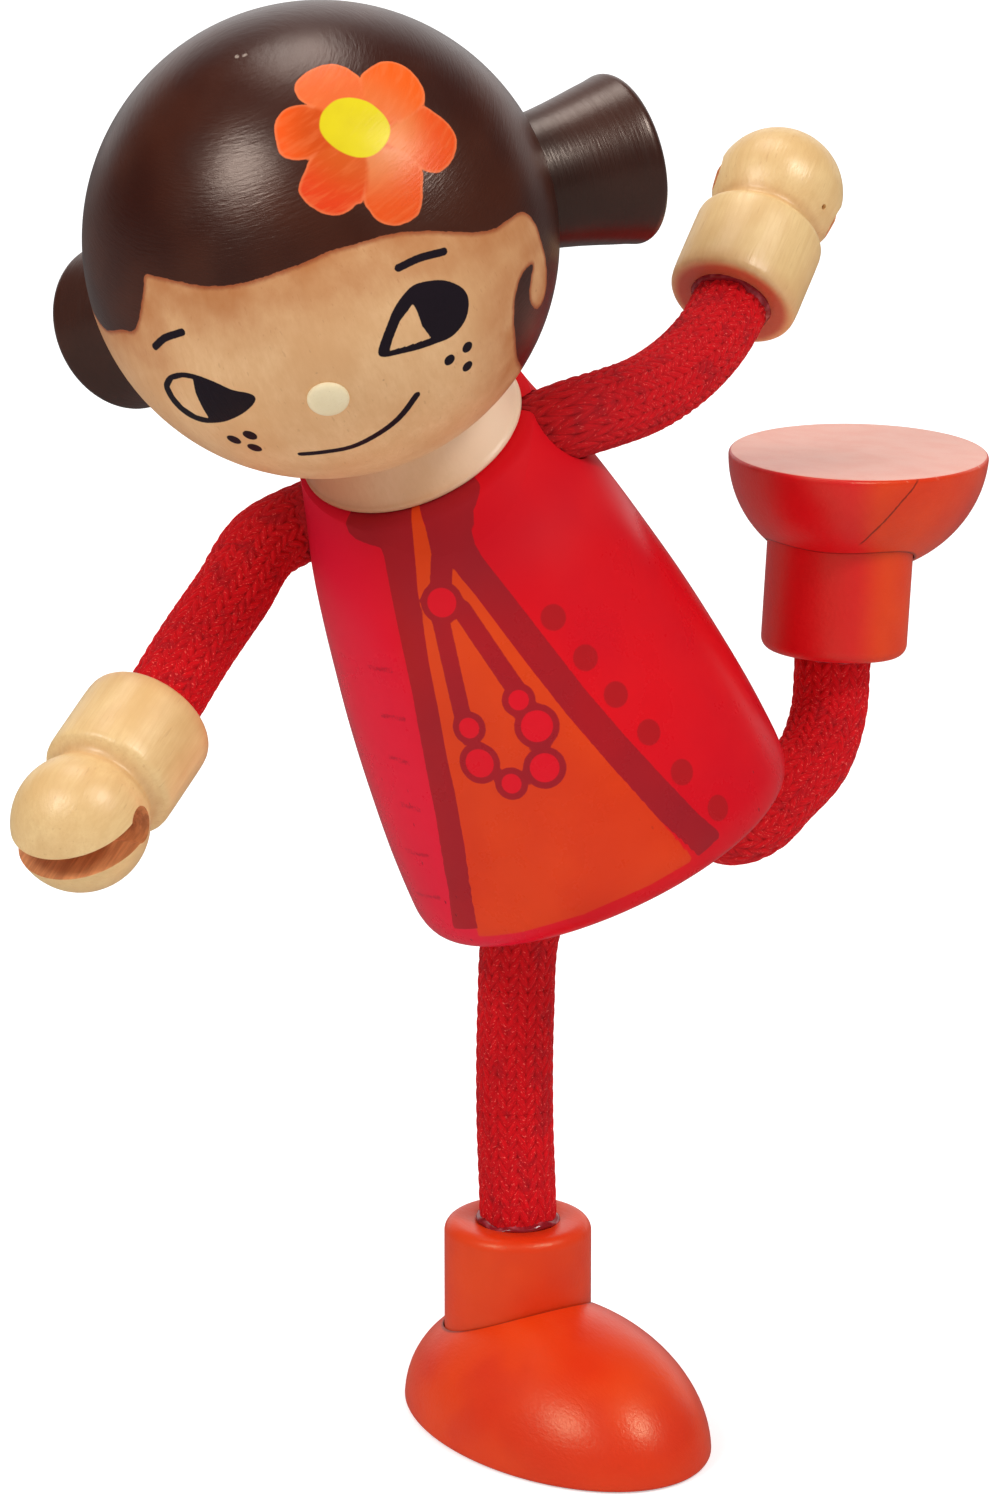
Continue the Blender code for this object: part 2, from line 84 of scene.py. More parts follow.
def frame_at(place, up, side):
    """Matrix of a local frame: Z along up, X as near to side as it can be."""
    z = up.normalized()
    x = (side - z * side.dot(z)).normalized()
    y = z.cross(x)
    turn = Matrix((x, y, z)).transposed().to_4x4()
    return Matrix.Translation(place * MM) @ turn


HEAD_FRAME = frame_at(HEAD, NECK_UP, HEAD_LEFT)
NECK_FRAME = frame_at(NECK, NECK_UP, HEAD_LEFT)
TORSO_FRAME = frame_at(TORSO_BASE, TORSO_UP, TORSO_LEFT)
print("the head stands", round(HEAD_ABOVE_NECK, 2), "mm above the neck plane")

# %% [markdown]
# ## The camera
#
# The photograph looks slightly down on the doll, and its perspective is slight. A short
# lens close by would show the same things, but it would swell the raised shoe. A long
# lens from 0.45 m keeps the pieces in the proportions that the photograph shows.

# %% Camera
CAMERA_AT = Vector((-4.2, -431.469, 177.307))
LOOK_AT = Vector((-4.2, 0.0, 49.5))
LENS = 157.68
SENSOR = 36.0

camera_data = bpy.data.cameras.new("camera")
camera = bpy.data.objects.new("camera", camera_data)
bpy.context.collection.objects.link(camera)
camera.location = CAMERA_AT * MM
aim = LOOK_AT * MM
camera.rotation_euler = (aim - camera.location).to_track_quat("-Z", "Y").to_euler()
camera_data.sensor_fit = "VERTICAL"
camera_data.sensor_height = SENSOR
camera_data.lens = LENS
bpy.context.scene.camera = camera
print("camera", round((aim - camera.location).length, 3), "m from its aim")

# %% [markdown]
# ## Node helpers
#
# A finish is built from nodes. They could be joined by hand in the editor, but a script
# can be read, changed and run again. One helper makes a node with its settings and
# plugs in one line, and the others are the few sums that come back again and again.
# Numbers that hold for the whole surface go straight on the shader.

# %% Making and joining nodes
def plug_in(tree, made, plugs):
    """Set a node's sockets. A value is a number, a colour or another node's output."""
    for key, value in plugs.items():
        if isinstance(value, bpy.types.NodeSocket):
            tree.links.new(value, made.inputs[key])
        else:
            made.inputs[key].default_value = value


def put(tree, kind, plugs=None, **settings):
    """Make a node with its settings and plugs."""
    made = tree.nodes.new("ShaderNode" + kind)
    for key, value in settings.items():
        setattr(made, key, value)
    plug_in(tree, made, plugs or {})
    return made


print("node maker is ready")

# %% Sums, steps, blends and noise
def sums(tree, kind, a, b=0.0, c=0.0):
    """One sum of one, two or three values."""
    return put(tree, "Math", {0: a, 1: b, 2: c}, operation=kind).outputs[0]


def between(tree, value, low, high):
    """0 up to low, 1 from high on, and smooth in between; low may be the larger one."""
    plugs = {"Value": value, "From Min": low, "From Max": high}
    return put(tree, "MapRange", plugs, interpolation_type="SMOOTHSTEP").outputs["Result"]


def blend_colours(tree, factor, first, second):
    """The first colour where the factor is 0, the second where it is 1."""
    return put(tree, "Mix", {0: factor, 6: first, 7: second}, data_type="RGBA").outputs[2]


def noise(tree, place, scale, detail=3.0, roughness=0.5):
    """Clouds from 0 to 1; a larger scale makes them smaller."""
    plugs = {"Vector": place, "Scale": scale, "Detail": detail, "Roughness": roughness}
    return put(tree, "TexNoise", plugs).outputs["Fac"]


print("sums are ready")

# %% Starting a material
def drawn(tree, name):
    """A value that was stored on the mesh under this name."""
    return put(tree, "Attribute", attribute_name=name, attribute_type="GEOMETRY").outputs["Fac"]


def paint(r, g, b):
    """A paint's colour as it reads on a screen, from 0 to 255, for a shader."""
    def light(v):
        v = v / 255.0
        return v / 12.92 if v <= 0.04045 else ((v + 0.055) / 1.055) ** 2.4
    return (light(r), light(g), light(b), 1.0)


def start_material(name):
    """A material with its Principled shader, and millimetre coordinates on the piece."""
    material = bpy.data.materials.new(name)
    material.use_nodes = True
    tree = material.node_tree
    surface = tree.nodes["Principled BSDF"]
    where = put(tree, "TexCoord").outputs["Object"]
    place = put(tree, "VectorMath", {0: where, "Scale": 1.0 / MM}, operation="SCALE")
    return material, tree, surface, place.outputs[0]


def bump(tree, surface, height, distance, strength=1.0):
    """Raise the surface by a height from 0 to 1, over a distance in millimetres."""
    plugs = {"Height": height, "Distance": distance * MM, "Strength": strength}
    made = put(tree, "Bump", plugs)
    tree.links.new(made.outputs["Normal"], surface.inputs["Normal"])


print("a mid grey of 128 is", round(paint(128, 128, 128)[0], 3), "for the shader")

# %% [markdown]
# ## Two shared effects: wood grain and the skin of paint
#
# Pale lacquered wood shows on the face, the collar, the nose and the hands, and it
# needs the same grain each time, only finer or stronger. Painted pieces share the
# slightly uneven skin of brushed or dipped paint. The nodes could be copied into each
# finish, but then every change has to be made many times. So each effect is a node
# group: built once, with named inputs, and placed in every material that needs it.

# %% An empty group with its sockets
def group_with(name, ins, outs):
    """A node group with only its sockets; returns the tree and its two ends."""
    tree = bpy.data.node_groups.new(name, "ShaderNodeTree")
    for label, kind, value in ins:
        made = tree.interface.new_socket(label, in_out="INPUT", socket_type=kind)
        if value is not None:
            made.default_value = value
    for label, kind in outs:
        tree.interface.new_socket(label, in_out="OUTPUT", socket_type=kind)
    start = tree.nodes.new("NodeGroupInput").outputs
    end = tree.nodes.new("NodeGroupOutput").inputs
    return tree, start, end


NUMBER = "NodeSocketFloat"
VECTOR = "NodeSocketVector"
print("group sockets:", NUMBER, VECTOR)

# %% Wood grain group
grain_group, grain_in, grain_out = group_with(
    "wood grain",
    [("Place", VECTOR, None), ("Fineness", NUMBER, 1.0), ("Stretch", NUMBER, 9.0)],
    [("Streaks", NUMBER), ("Blotches", NUMBER), ("Flecks", NUMBER)])
squeeze = put(grain_group, "CombineXYZ", {0: grain_in["Fineness"], 1: grain_in["Fineness"]})
along = sums(grain_group, "DIVIDE", grain_in["Fineness"], grain_in["Stretch"])
grain_group.links.new(along, squeeze.inputs[2])
stretched = put(grain_group, "VectorMath", {0: grain_in["Place"], 1: squeeze.outputs[0]},
                operation="MULTIPLY").outputs[0]
fibres = noise(grain_group, stretched, 2.6, 6.0, 0.65)
rays = noise(grain_group, stretched, 9.0, 2.0, 0.5)
both = sums(grain_group, "MULTIPLY_ADD", rays, 0.35, fibres)
grain_group.links.new(sums(grain_group, "SUBTRACT", both, 0.17), grain_out["Streaks"])
blotches = noise(grain_group, grain_in["Place"], 0.22, 3.0, 0.55)
grain_group.links.new(blotches, grain_out["Blotches"])
fleck_noise = noise(grain_group, stretched, 5.5, 1.0, 0.4)
grain_group.links.new(between(grain_group, fleck_noise, 0.70, 0.76), grain_out["Flecks"])
print("group:", grain_group.name)

# %% Paint skin group
skin_group, skin_in, skin_out = group_with(
    "paint skin",
    [("Place", VECTOR, None), ("Waves", NUMBER, 0.5)],
    [("Height", NUMBER), ("Cloud", NUMBER)])
slow = noise(skin_group, skin_in["Place"], skin_in["Waves"], 2.0, 0.5)
fine = noise(skin_group, skin_in["Place"], 4.0, 3.0, 0.6)
skin = sums(skin_group, "MULTIPLY", fine, 0.22)
skin_group.links.new(sums(skin_group, "ADD", slow, skin), skin_out["Height"])
skin_group.links.new(noise(skin_group, skin_in["Place"], 0.12, 2.0, 0.5), skin_out["Cloud"])
print("group:", skin_group.name)

# %% [markdown]
# ## Turning on the lathe
#
# Most of the wood is turned: an outline spun once around an axis. Such a piece could be
# a cylinder that is scaled row by row, or a curve with a Screw modifier. Spinning the
# outline in code leaves one closed skin, and every radius and height stays a number
# that can be read. The outlines are the ones of the measured model, with more points
# where an edge is rounded by hand sanding.

# %% A mesh, its place and its finish
def mesh_of(name, points, faces):
    """A mesh from points in millimetres."""
    mesh = bpy.data.meshes.new(name)
    mesh.from_pydata([tuple(p) for p in np.asarray(points) * MM], [], faces)
    mesh.update()
    return mesh


def place_mesh(name, mesh, matrix):
    obj = bpy.data.objects.new(name, mesh)
    bpy.context.collection.objects.link(obj)
    obj.matrix_world = matrix
    return obj


def dress(obj, material, body, stands_for=()):
    """Give a piece its finish, let it ride on its body and stand for its solid."""
    obj.data.materials.clear()
    obj.data.materials.append(material)
    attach(obj, body)
    if stands_for:
        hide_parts(*stands_for)


print("pieces can be placed")

# %% The lathe
def lathe_mesh(name, outline, steps):
    """Spin a (radius, height) outline, in millimetres, once around Z."""
    mesh = bpy.data.meshes.new(name)
    shape = bmesh.new()
    points = [shape.verts.new((r * MM, 0.0, z * MM)) for r, z in outline]
    pairs = list(zip(points, points[1:]))
    if outline[0][0] > 0.0 or outline[-1][0] > 0.0:
        pairs.append((points[-1], points[0]))
    edges = [shape.edges.new(pair) for pair in pairs]
    bmesh.ops.spin(shape, geom=points + edges, cent=(0, 0, 0), axis=(0, 0, 1),
                   angle=2.0 * math.pi, steps=steps, use_duplicate=False)
    bmesh.ops.remove_doubles(shape, verts=shape.verts, dist=1e-7)
    bmesh.ops.recalc_face_normals(shape, faces=shape.faces)
    shape.to_mesh(mesh)
    shape.free()
    return mesh


def shade(obj, sharp_deg=40.0):
    """Smooth shading, but for edges that turn more than this angle."""
    obj.data.shade_smooth()
    obj.data.set_sharp_from_angle(angle=math.radians(sharp_deg))


print("the lathe is ready")

# %% [markdown]
# ## Drawing with distances
#
# The real doll is painted by hand, with clean edges. A picture wrapped round the piece
# could show that, but a picture has a fixed size and blurs close by. Instead, every
# point of the mesh stores how far it lies from a shape's outline, below zero inside.
# The material paints where that distance is below zero, so the edge stays crisp between
# the points, and it can be worn, bled or softened by shifting the distance a little.

# %% Inside or outside
def inside_outline(xy, outline):
    """True where a point lies within a closed outline, by counting crossings."""
    inside = np.zeros(len(xy), bool)
    ends = np.roll(outline, -1, axis=0)
    for (x0, y0), (x1, y1) in zip(outline, ends):
        if y0 == y1:
            continue
        spans = (xy[:, 1] >= min(y0, y1)) & (xy[:, 1] < max(y0, y1))
        cross = x0 + (xy[:, 1] - y0) * (x1 - x0) / (y1 - y0)
        inside ^= spans & (xy[:, 0] < cross)
    return inside


square = np.array([(0.0, 0.0), (1.0, 0.0), (1.0, 1.0), (0.0, 1.0)])
print("inside a square:", inside_outline(np.array([(0.5, 0.5), (1.5, 0.5)]), square))

# %% Distance to a line
def stroke_distance(points, line):
    """Distance from points to a line of straight stretches, in any dimension."""
    best = np.full(len(points), 1e9)
    for a, b in zip(line[:-1], line[1:]):
        ab = b - a
        t = np.clip((points - a) @ ab / max(ab @ ab, 1e-12), 0.0, 1.0)
        gap = np.linalg.norm(points - (a + t[:, None] * ab), axis=1)
        best = np.minimum(best, gap)
    return best


print("from a corner to a side:", stroke_distance(square[:1], square[1:3])[0])

# %% A smooth line
def through(points, parts=6, closed=False):
    """A smooth line through given points."""
    p = np.asarray(points, float)
    if closed:
        p = np.vstack([p[-1], p, p[0], p[1]])
    else:
        p = np.vstack([2 * p[0] - p[1], p, 2 * p[-1] - p[-2]])
    made = []
    for i in range(1, len(p) - 2):
        a, b, c, d = p[i - 1], p[i], p[i + 1], p[i + 2]
        for k in range(parts):
            t = k / parts
            made.append(0.5 * ((2 * b) + (c - a) * t + (2 * a - 5 * b + 4 * c - d) * t * t
                               + (3 * b - a - 3 * c + d) * t ** 3))
    if not closed:
        made.append(p[-2])
    return np.array(made)


print("points on a smooth line round the square:", len(through(square, closed=True)))

# %% [markdown]
# ## Floor, backdrop and light
#
# The doll stands on a pale floor in an even, bright studio. Stronger lamps would whiten
# the floor, but they would bleach the paint too. So the lamps stay at a plain level,
# and through Light Path only the camera sees a white world and a floor that glows a
# little. The glow grows with the distance from the doll, because less of the lamps'
# light reaches the floor there. In reflections the far side of the room is white, which
# gives every lacquered edge its thin pale sheen, and the side behind the camera is
# nearly black, as in a studio, so that the paint keeps its full colour.

# %% World
world = bpy.data.worlds.new("studio")
bpy.context.scene.world = world
world.use_nodes = True
air = world.node_tree
air.nodes.clear()
ray = put(air, "LightPath").outputs
mirror = sums(air, "MAXIMUM", ray["Is Glossy Ray"], ray["Is Transmission Ray"])
look = put(air, "TexCoord").outputs["Generated"]
depth = put(air, "SeparateXYZ", {0: look}).outputs["Y"]
white_behind = put(air, "MapRange", {"Value": depth, "From Min": 0.62, "From Max": 1.0,
                                     "To Min": 0.03, "To Max": 1.0},
                   interpolation_type="SMOOTHSTEP").outputs["Result"]
SKY_FILL = 0.50
plain = put(air, "Background", {"Color": (1.0, 1.0, 1.0, 1.0), "Strength": SKY_FILL})
mirrored = put(air, "Background", {"Color": (1.0, 1.0, 1.0, 1.0), "Strength": white_behind})
white = put(air, "Background", {"Color": (1.0, 1.0, 1.0, 1.0), "Strength": 1.0})
first = put(air, "MixShader", {0: mirror, 1: plain.outputs[0], 2: mirrored.outputs[0]})
second = put(air, "MixShader", {0: ray["Is Camera Ray"], 1: first.outputs[0],
                                2: white.outputs[0]})
put(air, "OutputWorld", {"Surface": second.outputs[0]})
print("world fill", SKY_FILL)

# %% Lamps
def softbox(name, azimuth_deg, elevation_deg, distance, size, power):
    """A square lamp aimed at the doll; azimuth 0 is the camera's side, + is its right."""
    az = math.radians(azimuth_deg)
    el = math.radians(elevation_deg)
    away = Vector((math.sin(az) * math.cos(el), -math.cos(az) * math.cos(el), math.sin(el)))
    lamp = bpy.data.lights.new(name, "AREA")
    lamp.shape = "SQUARE"
    lamp.size = size
    lamp.energy = power
    obj = bpy.data.objects.new(name, lamp)
    bpy.context.collection.objects.link(obj)
    middle = Vector((-4.0, 4.0, 55.0)) * MM
    obj.location = middle + away * distance
    obj.rotation_euler = (-away).to_track_quat("-Z", "Y").to_euler()
    return obj


softbox("key", -48.0, 42.0, 0.55, 0.17, 1.00)
softbox("fill", 56.0, 50.0, 0.60, 0.12, 1.20)
softbox("top", -160.0, 70.0, 0.60, 0.24, 0.72)
softbox("rim", 140.0, 8.0, 0.60, 0.14, 0.03)

# %% Floor
FLOOR_HALF = 3.0
FLOOR_AT = -0.00005

floor_mesh = bpy.data.meshes.new("floor")
corners = [(x * FLOOR_HALF, y * FLOOR_HALF, FLOOR_AT)
           for x, y in ((-1, -1), (1, -1), (1, 1), (-1, 1))]
floor_mesh.from_pydata(corners, [], [(0, 1, 2, 3)])
floor = bpy.data.objects.new("floor", floor_mesh)
bpy.context.collection.objects.link(floor)
floor_paint, tree, surface, _ = start_material("floor_paint")
surface.inputs["Base Color"].default_value = (0.86, 0.86, 0.86, 1.0)
surface.inputs["Roughness"].default_value = 0.9
surface.inputs["Specular IOR Level"].default_value = 0.0
ray = put(tree, "LightPath").outputs
spot = put(tree, "TexCoord").outputs["Object"]
far = put(tree, "VectorMath", {0: spot}, operation="LENGTH").outputs["Value"]
lift = put(tree, "MapRange", {"Value": far, "From Min": 0.15, "From Max": 0.60, "To Min": 0.46,
                              "To Max": 0.66}).outputs[0]
glow = put(tree, "Emission", {"Color": (1.0, 1.0, 1.0, 1.0), "Strength": lift})
both = put(tree, "AddShader", {0: surface.outputs[0], 1: glow.outputs[0]})
dim = put(tree, "Emission", {"Color": (1.0, 1.0, 1.0, 1.0), "Strength": 0.18})
first = put(tree, "MixShader", {0: ray["Is Camera Ray"], 1: surface.outputs[0],
                                2: both.outputs[0]})
mixed = put(tree, "MixShader", {0: ray["Is Glossy Ray"], 1: first.outputs[0],
                                2: dim.outputs[0]})
tree.links.new(mixed.outputs[0], tree.nodes["Material Output"].inputs["Surface"])
floor_mesh.materials.append(floor_paint)
bpy.context.scene.view_settings.view_transform = "Standard"
print("floor:", 2.0 * FLOOR_HALF, "m wide")

# %% [markdown]
# ## The head ball
#
# A turned ball of pale wood. Its hair is dark satin paint, and the eyes, brows, mouth
# and freckles are printed on the bare lacquered wood. A ready-made sphere has the right
# shape, but it is equally coarse all over. A grid of two angles, one around towards the
# doll's left and one up, is as easy to draw on as a map, and it can be fine over the
# face and the flower, where edges are seen, and coarse at the back.

# %% The ball's mesh
def steps_between(*stretches):
    """Rising values: (from, to, step), each stretch ending where the next begins."""
    made = []
    for low, high, step in stretches:
        made += list(np.arange(low, high - 1e-6, step))
    return np.array(made)


def wrapped_faces(rows, around):
    """Faces of a grid that closes on itself; its two ends' middle points come last."""
    j, i = np.meshgrid(np.arange(rows - 1), np.arange(around), indexing="ij")
    k = (i + 1) % around
    low = j * around
    high = low + around
    faces = np.stack([low + i, low + k, high + k, high + i], -1).reshape(-1, 4).tolist()
    first = rows * around
    last = (rows - 1) * around
    for i in range(around):
        k = (i + 1) % around
        faces.append([first, k, i])
        faces.append([first + 1, last + i, last + k])
    return faces


AROUND = steps_between((-180.0, -56.0, 2.0), (-56.0, 88.0, 0.5), (88.0, 180.0, 2.0))
UPWARD = steps_between((-87.5, -35.0, 2.5), (-35.0, 40.0, 0.5), (40.0, 89.6, 0.6))


def on_ball(around, upward, radius=HEAD_RADIUS):
    """Points of the ball, in millimetres, from the two angles in degrees."""
    a = np.radians(around)
    u = np.radians(upward)
    return np.stack([np.sin(a) * np.cos(u), -np.cos(a) * np.cos(u), np.sin(u)], -1) * radius


wide_grid, high_grid = np.meshgrid(AROUND, UPWARD)
columns = len(AROUND)
rows = len(UPWARD)
ball_around = np.append(wide_grid.ravel(), [0.0, 0.0])
ball_upward = np.append(high_grid.ravel(), [-90.0, 90.0])
ball_points = on_ball(ball_around, ball_upward)
ball_faces = wrapped_faces(rows, columns)
print("ball:", len(ball_points), "points,", len(ball_faces), "faces")

# %% [markdown]
# ## Painting the head: hair, eyes, flower
#
# A painted line leans and swells, so circles and arcs alone would look stamped. Each
# outline below is a short list of angles chosen on the ball, and `through` makes a
# smooth line of it. The hair is one outline around the bare face; the curl in front
# of the left ear is part of it.

# %% The hair line
HAIR_FRONT = [
    (-68.7, 10.2), (-63.8, 10.9), (-54.5, 15.3), (-49.4, 16.6), (-46.6, 19.6), (-44.2, 25.1),
    (-43.2, 29.1), (-42.5, 32.4), (-38.2, 32.8), (-30.2, 32.3), (-22.9, 31.4), (-16.1, 31.0),
    (-8.2, 31.1), (-0.2, 31.5), (7.7, 31.6), (15.6, 31.6), (23.0, 30.2), (29.1, 28.8),
    (34.8, 26.6), (41.0, 22.8), (46.8, 18.1), (52.0, 13.8), (57.2, 10.7), (62.4, 8.9),
    (66.6, 7.2), (69.0, 4.8), (70.3, 0.2), (69.8, -5.0), (69.5, -10.2), (68.5, -15.0),
    (66.7, -18.6), (63.5, -20.0), (60.4, -18.4), (58.4, -14.6), (58.8, -11.1), (61.0, -8.3),
    (62.9, -6.3), (60.5, -4.9), (56.9, -5.1), (53.7, -7.4), (51.6, -11.4), (50.4, -16.5),
    (50.6, -25.7), (53.5, -32.8), (60.8, -42.3),
]
HAIR_BACK_LEFT = [(75.0, -47.0), (100.0, -45.0), (140.0, -40.0), (180.0, -38.0)]
HAIR_BACK_RIGHT = [(-180.0, -38.0), (-140.0, -38.0), (-112.0, -34.0), (-100.0, -22.0),
                   (-93.0, -5.0), (-84.0, 6.0), (-76.0, 9.4)]
hair_line = through(HAIR_BACK_RIGHT + HAIR_FRONT + HAIR_BACK_LEFT, 4)
bare_wood = np.vstack([hair_line, [(180.0, -95.0), (-180.0, -95.0)]])
ball_spots = np.stack([ball_around, ball_upward], -1)
hair = stroke_distance(ball_points, on_ball(hair_line[:, 0], hair_line[:, 1]))
hair = np.where(inside_outline(ball_spots, bare_wood), hair, -hair)
print("hair covers", round(float((hair < 0).mean() * 100)), "percent of the points")

# %% Outlines of the eyes, brows, mouth and freckles
def shape_distance(outline):
    """Signed distance to a closed shape on the ball, in millimetres."""
    away = stroke_distance(ball_points, on_ball(*np.vstack([outline, outline[:1]]).T))
    return np.where(inside_outline(ball_spots, outline), -away, away)


def line_distance(line, half_width):
    return stroke_distance(ball_points, on_ball(*line.T)) - half_width


LEFT_EYE = [(15.6, 4.6), (17.4, 6.8), (20.3, 9.7), (22.9, 12.0), (26.3, 13.8), (30.0, 14.6),
            (33.4, 13.5), (37.0, 11.3), (39.5, 8.3), (40.9, 5.0), (40.5, 2.1), (38.7, -0.6),
            (36.3, -2.2), (32.6, -2.9), (28.4, -1.8), (24.5, -0.7), (20.2, 0.8),
            (16.6, 2.0), (15.3, 3.1)]
LEFT_WHITE = [(17.9, 3.1), (19.8, 5.5), (23.1, 8.7), (27.9, 10.8), (27.9, 8.2), (27.4, 4.5),
              (28.1, 0.3)]
RIGHT_EYE = [(-43.0, 2.8), (-40.9, 5.7), (-38.2, 7.6), (-34.2, 8.8), (-30.2, 8.5),
             (-25.7, 6.8), (-21.7, 4.4), (-18.0, 3.2), (-16.6, 1.7), (-17.9, -0.3),
             (-21.7, -3.0), (-27.3, -5.7), (-31.9, -7.0), (-36.3, -7.5), (-40.0, -6.3),
             (-42.3, -3.8), (-43.2, -0.8)]
RIGHT_WHITE = [(-31.8, 7.2), (-32.7, 2.9), (-32.8, -1.3), (-32.7, -5.5), (-36.4, -5.0),
               (-39.4, -2.7), (-40.7, 0.4), (-40.8, 3.3), (-38.5, 5.9), (-34.7, 7.3)]
BROWS = [[(-41.5, 14.5), (-37.1, 17.7), (-31.1, 19.9)], [(29.0, 20.2), (35.0, 19.1),
                                                          (41.3, 16.5)]]
MOUTH = [(-14.4, -21.0), (-8.0, -21.8), (-0.9, -22.4), (7.0, -20.5), (13.3, -17.7),
         (19.4, -13.0)]
FRECKLES = [(-29.6, -13.4), (-23.8, -11.2), (-25.4, -16.7), (30.1, -8.6), (35.5, -8.7),
            (33.9, -14.2)]
print("eye outlines:", len(LEFT_EYE), "and", len(RIGHT_EYE), "points")

# %% Inking them
LINE_HALF = 0.26
RIGHT_FRECKLE = 0.51
LEFT_FRECKLE = 0.41

eyes = []
for outer, inner in ((LEFT_EYE, LEFT_WHITE), (RIGHT_EYE, RIGHT_WHITE)):
    rim = shape_distance(through(outer, 4, closed=True))
    bare = shape_distance(np.array(inner, float))
    eyes.append(np.maximum(rim, -bare))
strokes = [line_distance(through(line), LINE_HALF) for line in BROWS + [MOUTH]]
dots = []
for around, upward in FRECKLES:
    size = RIGHT_FRECKLE if around < 0.0 else LEFT_FRECKLE
    dots.append(np.linalg.norm(ball_points - on_ball(around, upward), axis=1) - size)
ink = np.minimum.reduce(eyes + strokes + dots)
print("ink drawn:", len(eyes), "eyes,", len(strokes), "strokes,", len(dots), "dots")

# %% The flower
PETALS = [
    [(68.9, 58.4), (74.3, 57.9), (80.8, 55.9), (83.8, 53.9), (84.9, 51.3), (83.8, 48.5),
     (81.0, 46.0), (76.7, 43.5), (73.1, 42.6), (69.6, 42.5), (58.8, 45.0), (54.1, 52.3),
     (59.1, 56.1)],
    [(69.6, 42.5), (70.2, 39.2), (69.8, 35.4), (67.8, 32.2), (64.4, 30.6), (60.7, 29.9),
     (56.8, 30.1), (53.7, 31.1), (51.4, 33.8), (50.3, 40.7), (50.1, 47.3), (59.4, 45.2)],
    [(51.3, 34.5), (47.6, 31.4), (43.9, 28.5), (41.0, 27.3), (37.5, 27.6), (34.1, 28.8),
     (32.0, 30.7), (30.8, 32.7), (30.6, 35.1), (31.3, 38.0), (37.8, 44.1), (45.0, 45.6),
     (51.1, 40.1)],
    [(24.8, 53.0), (19.2, 50.5), (15.2, 47.9), (14.9, 45.2), (16.5, 42.3), (19.1, 39.6),
     (21.8, 38.2), (25.1, 37.6), (28.5, 37.9), (31.3, 38.0), (39.6, 44.2), (38.8, 49.9),
     (32.9, 54.0)],
    [(39.8, 64.4), (31.4, 66.8), (24.7, 66.7), (18.7, 64.9), (15.6, 61.3), (14.5, 58.0),
     (15.8, 55.9), (19.3, 54.2), (22.6, 53.3), (24.8, 53.0), (36.2, 53.1), (43.4, 58.4)],
    [(43.2, 69.8), (50.0, 70.9), (60.7, 70.3), (69.6, 68.0), (73.1, 65.3), (72.5, 62.1),
     (70.2, 59.5), (68.9, 58.4), (58.4, 54.9), (47.3, 54.7), (42.7, 60.9), (39.8, 64.4),
     (39.5, 67.3)],
]
DISC = [(36.4, 58.5), (42.2, 60.4), (50.6, 60.3), (56.1, 58.1), (58.8, 54.5), (58.5, 51.0),
        (56.7, 47.7), (53.6, 45.5), (48.7, 44.4), (43.4, 44.5), (39.4, 45.9), (36.2, 48.6),
        (34.2, 52.3), (34.1, 55.9)]
DISC_MARGIN = 0.8
petals = [shape_distance(through(petal, 4, closed=True)) for petal in PETALS]
disc = shape_distance(through(DISC, 4, closed=True))
flower = np.minimum.reduce(petals + [disc - DISC_MARGIN])
print("petals:", len(petals))

# %% [markdown]
# ## The head's finish
#
# On the real head, paint lies on lacquered wood without a step that shows. Separate
# pieces for hair and eyes would have such steps, so one material carries everything
# that is painted on the ball. It starts from the wood, and each mask lays the next
# colour over it, in the order in which a painter would. A thin reddish bleed lies on
# the wood along the hair, as the brown soaks into the grain. Fine scratches across the
# satin brown break up its highlights.

# %% Masks and wood colour
def use_group(tree, group, plugs):
    """Place a shared effect in a material, with its own values."""
    made = tree.nodes.new("ShaderNodeGroup")
    made.node_tree = group
    plug_in(tree, made, plugs)
    return made.outputs


def inside_of(tree, name, soft=0.035, wobble=None):
    """1 inside a drawn shape, 0 outside, with an edge that may waver a little."""
    gap = drawn(tree, name)
    if wobble is not None:
        gap = sums(tree, "ADD", gap, wobble)
    return between(tree, gap, soft, -soft)


def waver(tree, place, scale, amount):
    """A small shift, in millimetres, that makes a painted edge less perfect."""
    return sums(tree, "MULTIPLY_ADD", noise(tree, place, scale, 2.0), amount, -amount / 2.0)


def wood_colour(tree, place, pale, mid, dark, fineness=1.0, stretch=9.0, fleck=0.5):
    """Colour of lacquered pale wood, and its streaks for roughness and bump."""
    grain = use_group(tree, grain_group, {"Place": place, "Fineness": fineness,
                                          "Stretch": stretch})
    lines = between(tree, grain["Streaks"], 0.30, 0.72)
    tone = blend_colours(tree, sums(tree, "MULTIPLY", lines, 0.45), pale, mid)
    patches = between(tree, grain["Blotches"], 0.35, 0.72)
    tone = blend_colours(tree, sums(tree, "MULTIPLY", patches, 0.7), tone, mid)
    marks = sums(tree, "MULTIPLY", grain["Flecks"], fleck)
    return blend_colours(tree, marks, tone, dark), grain["Streaks"]


print("masks are ready")

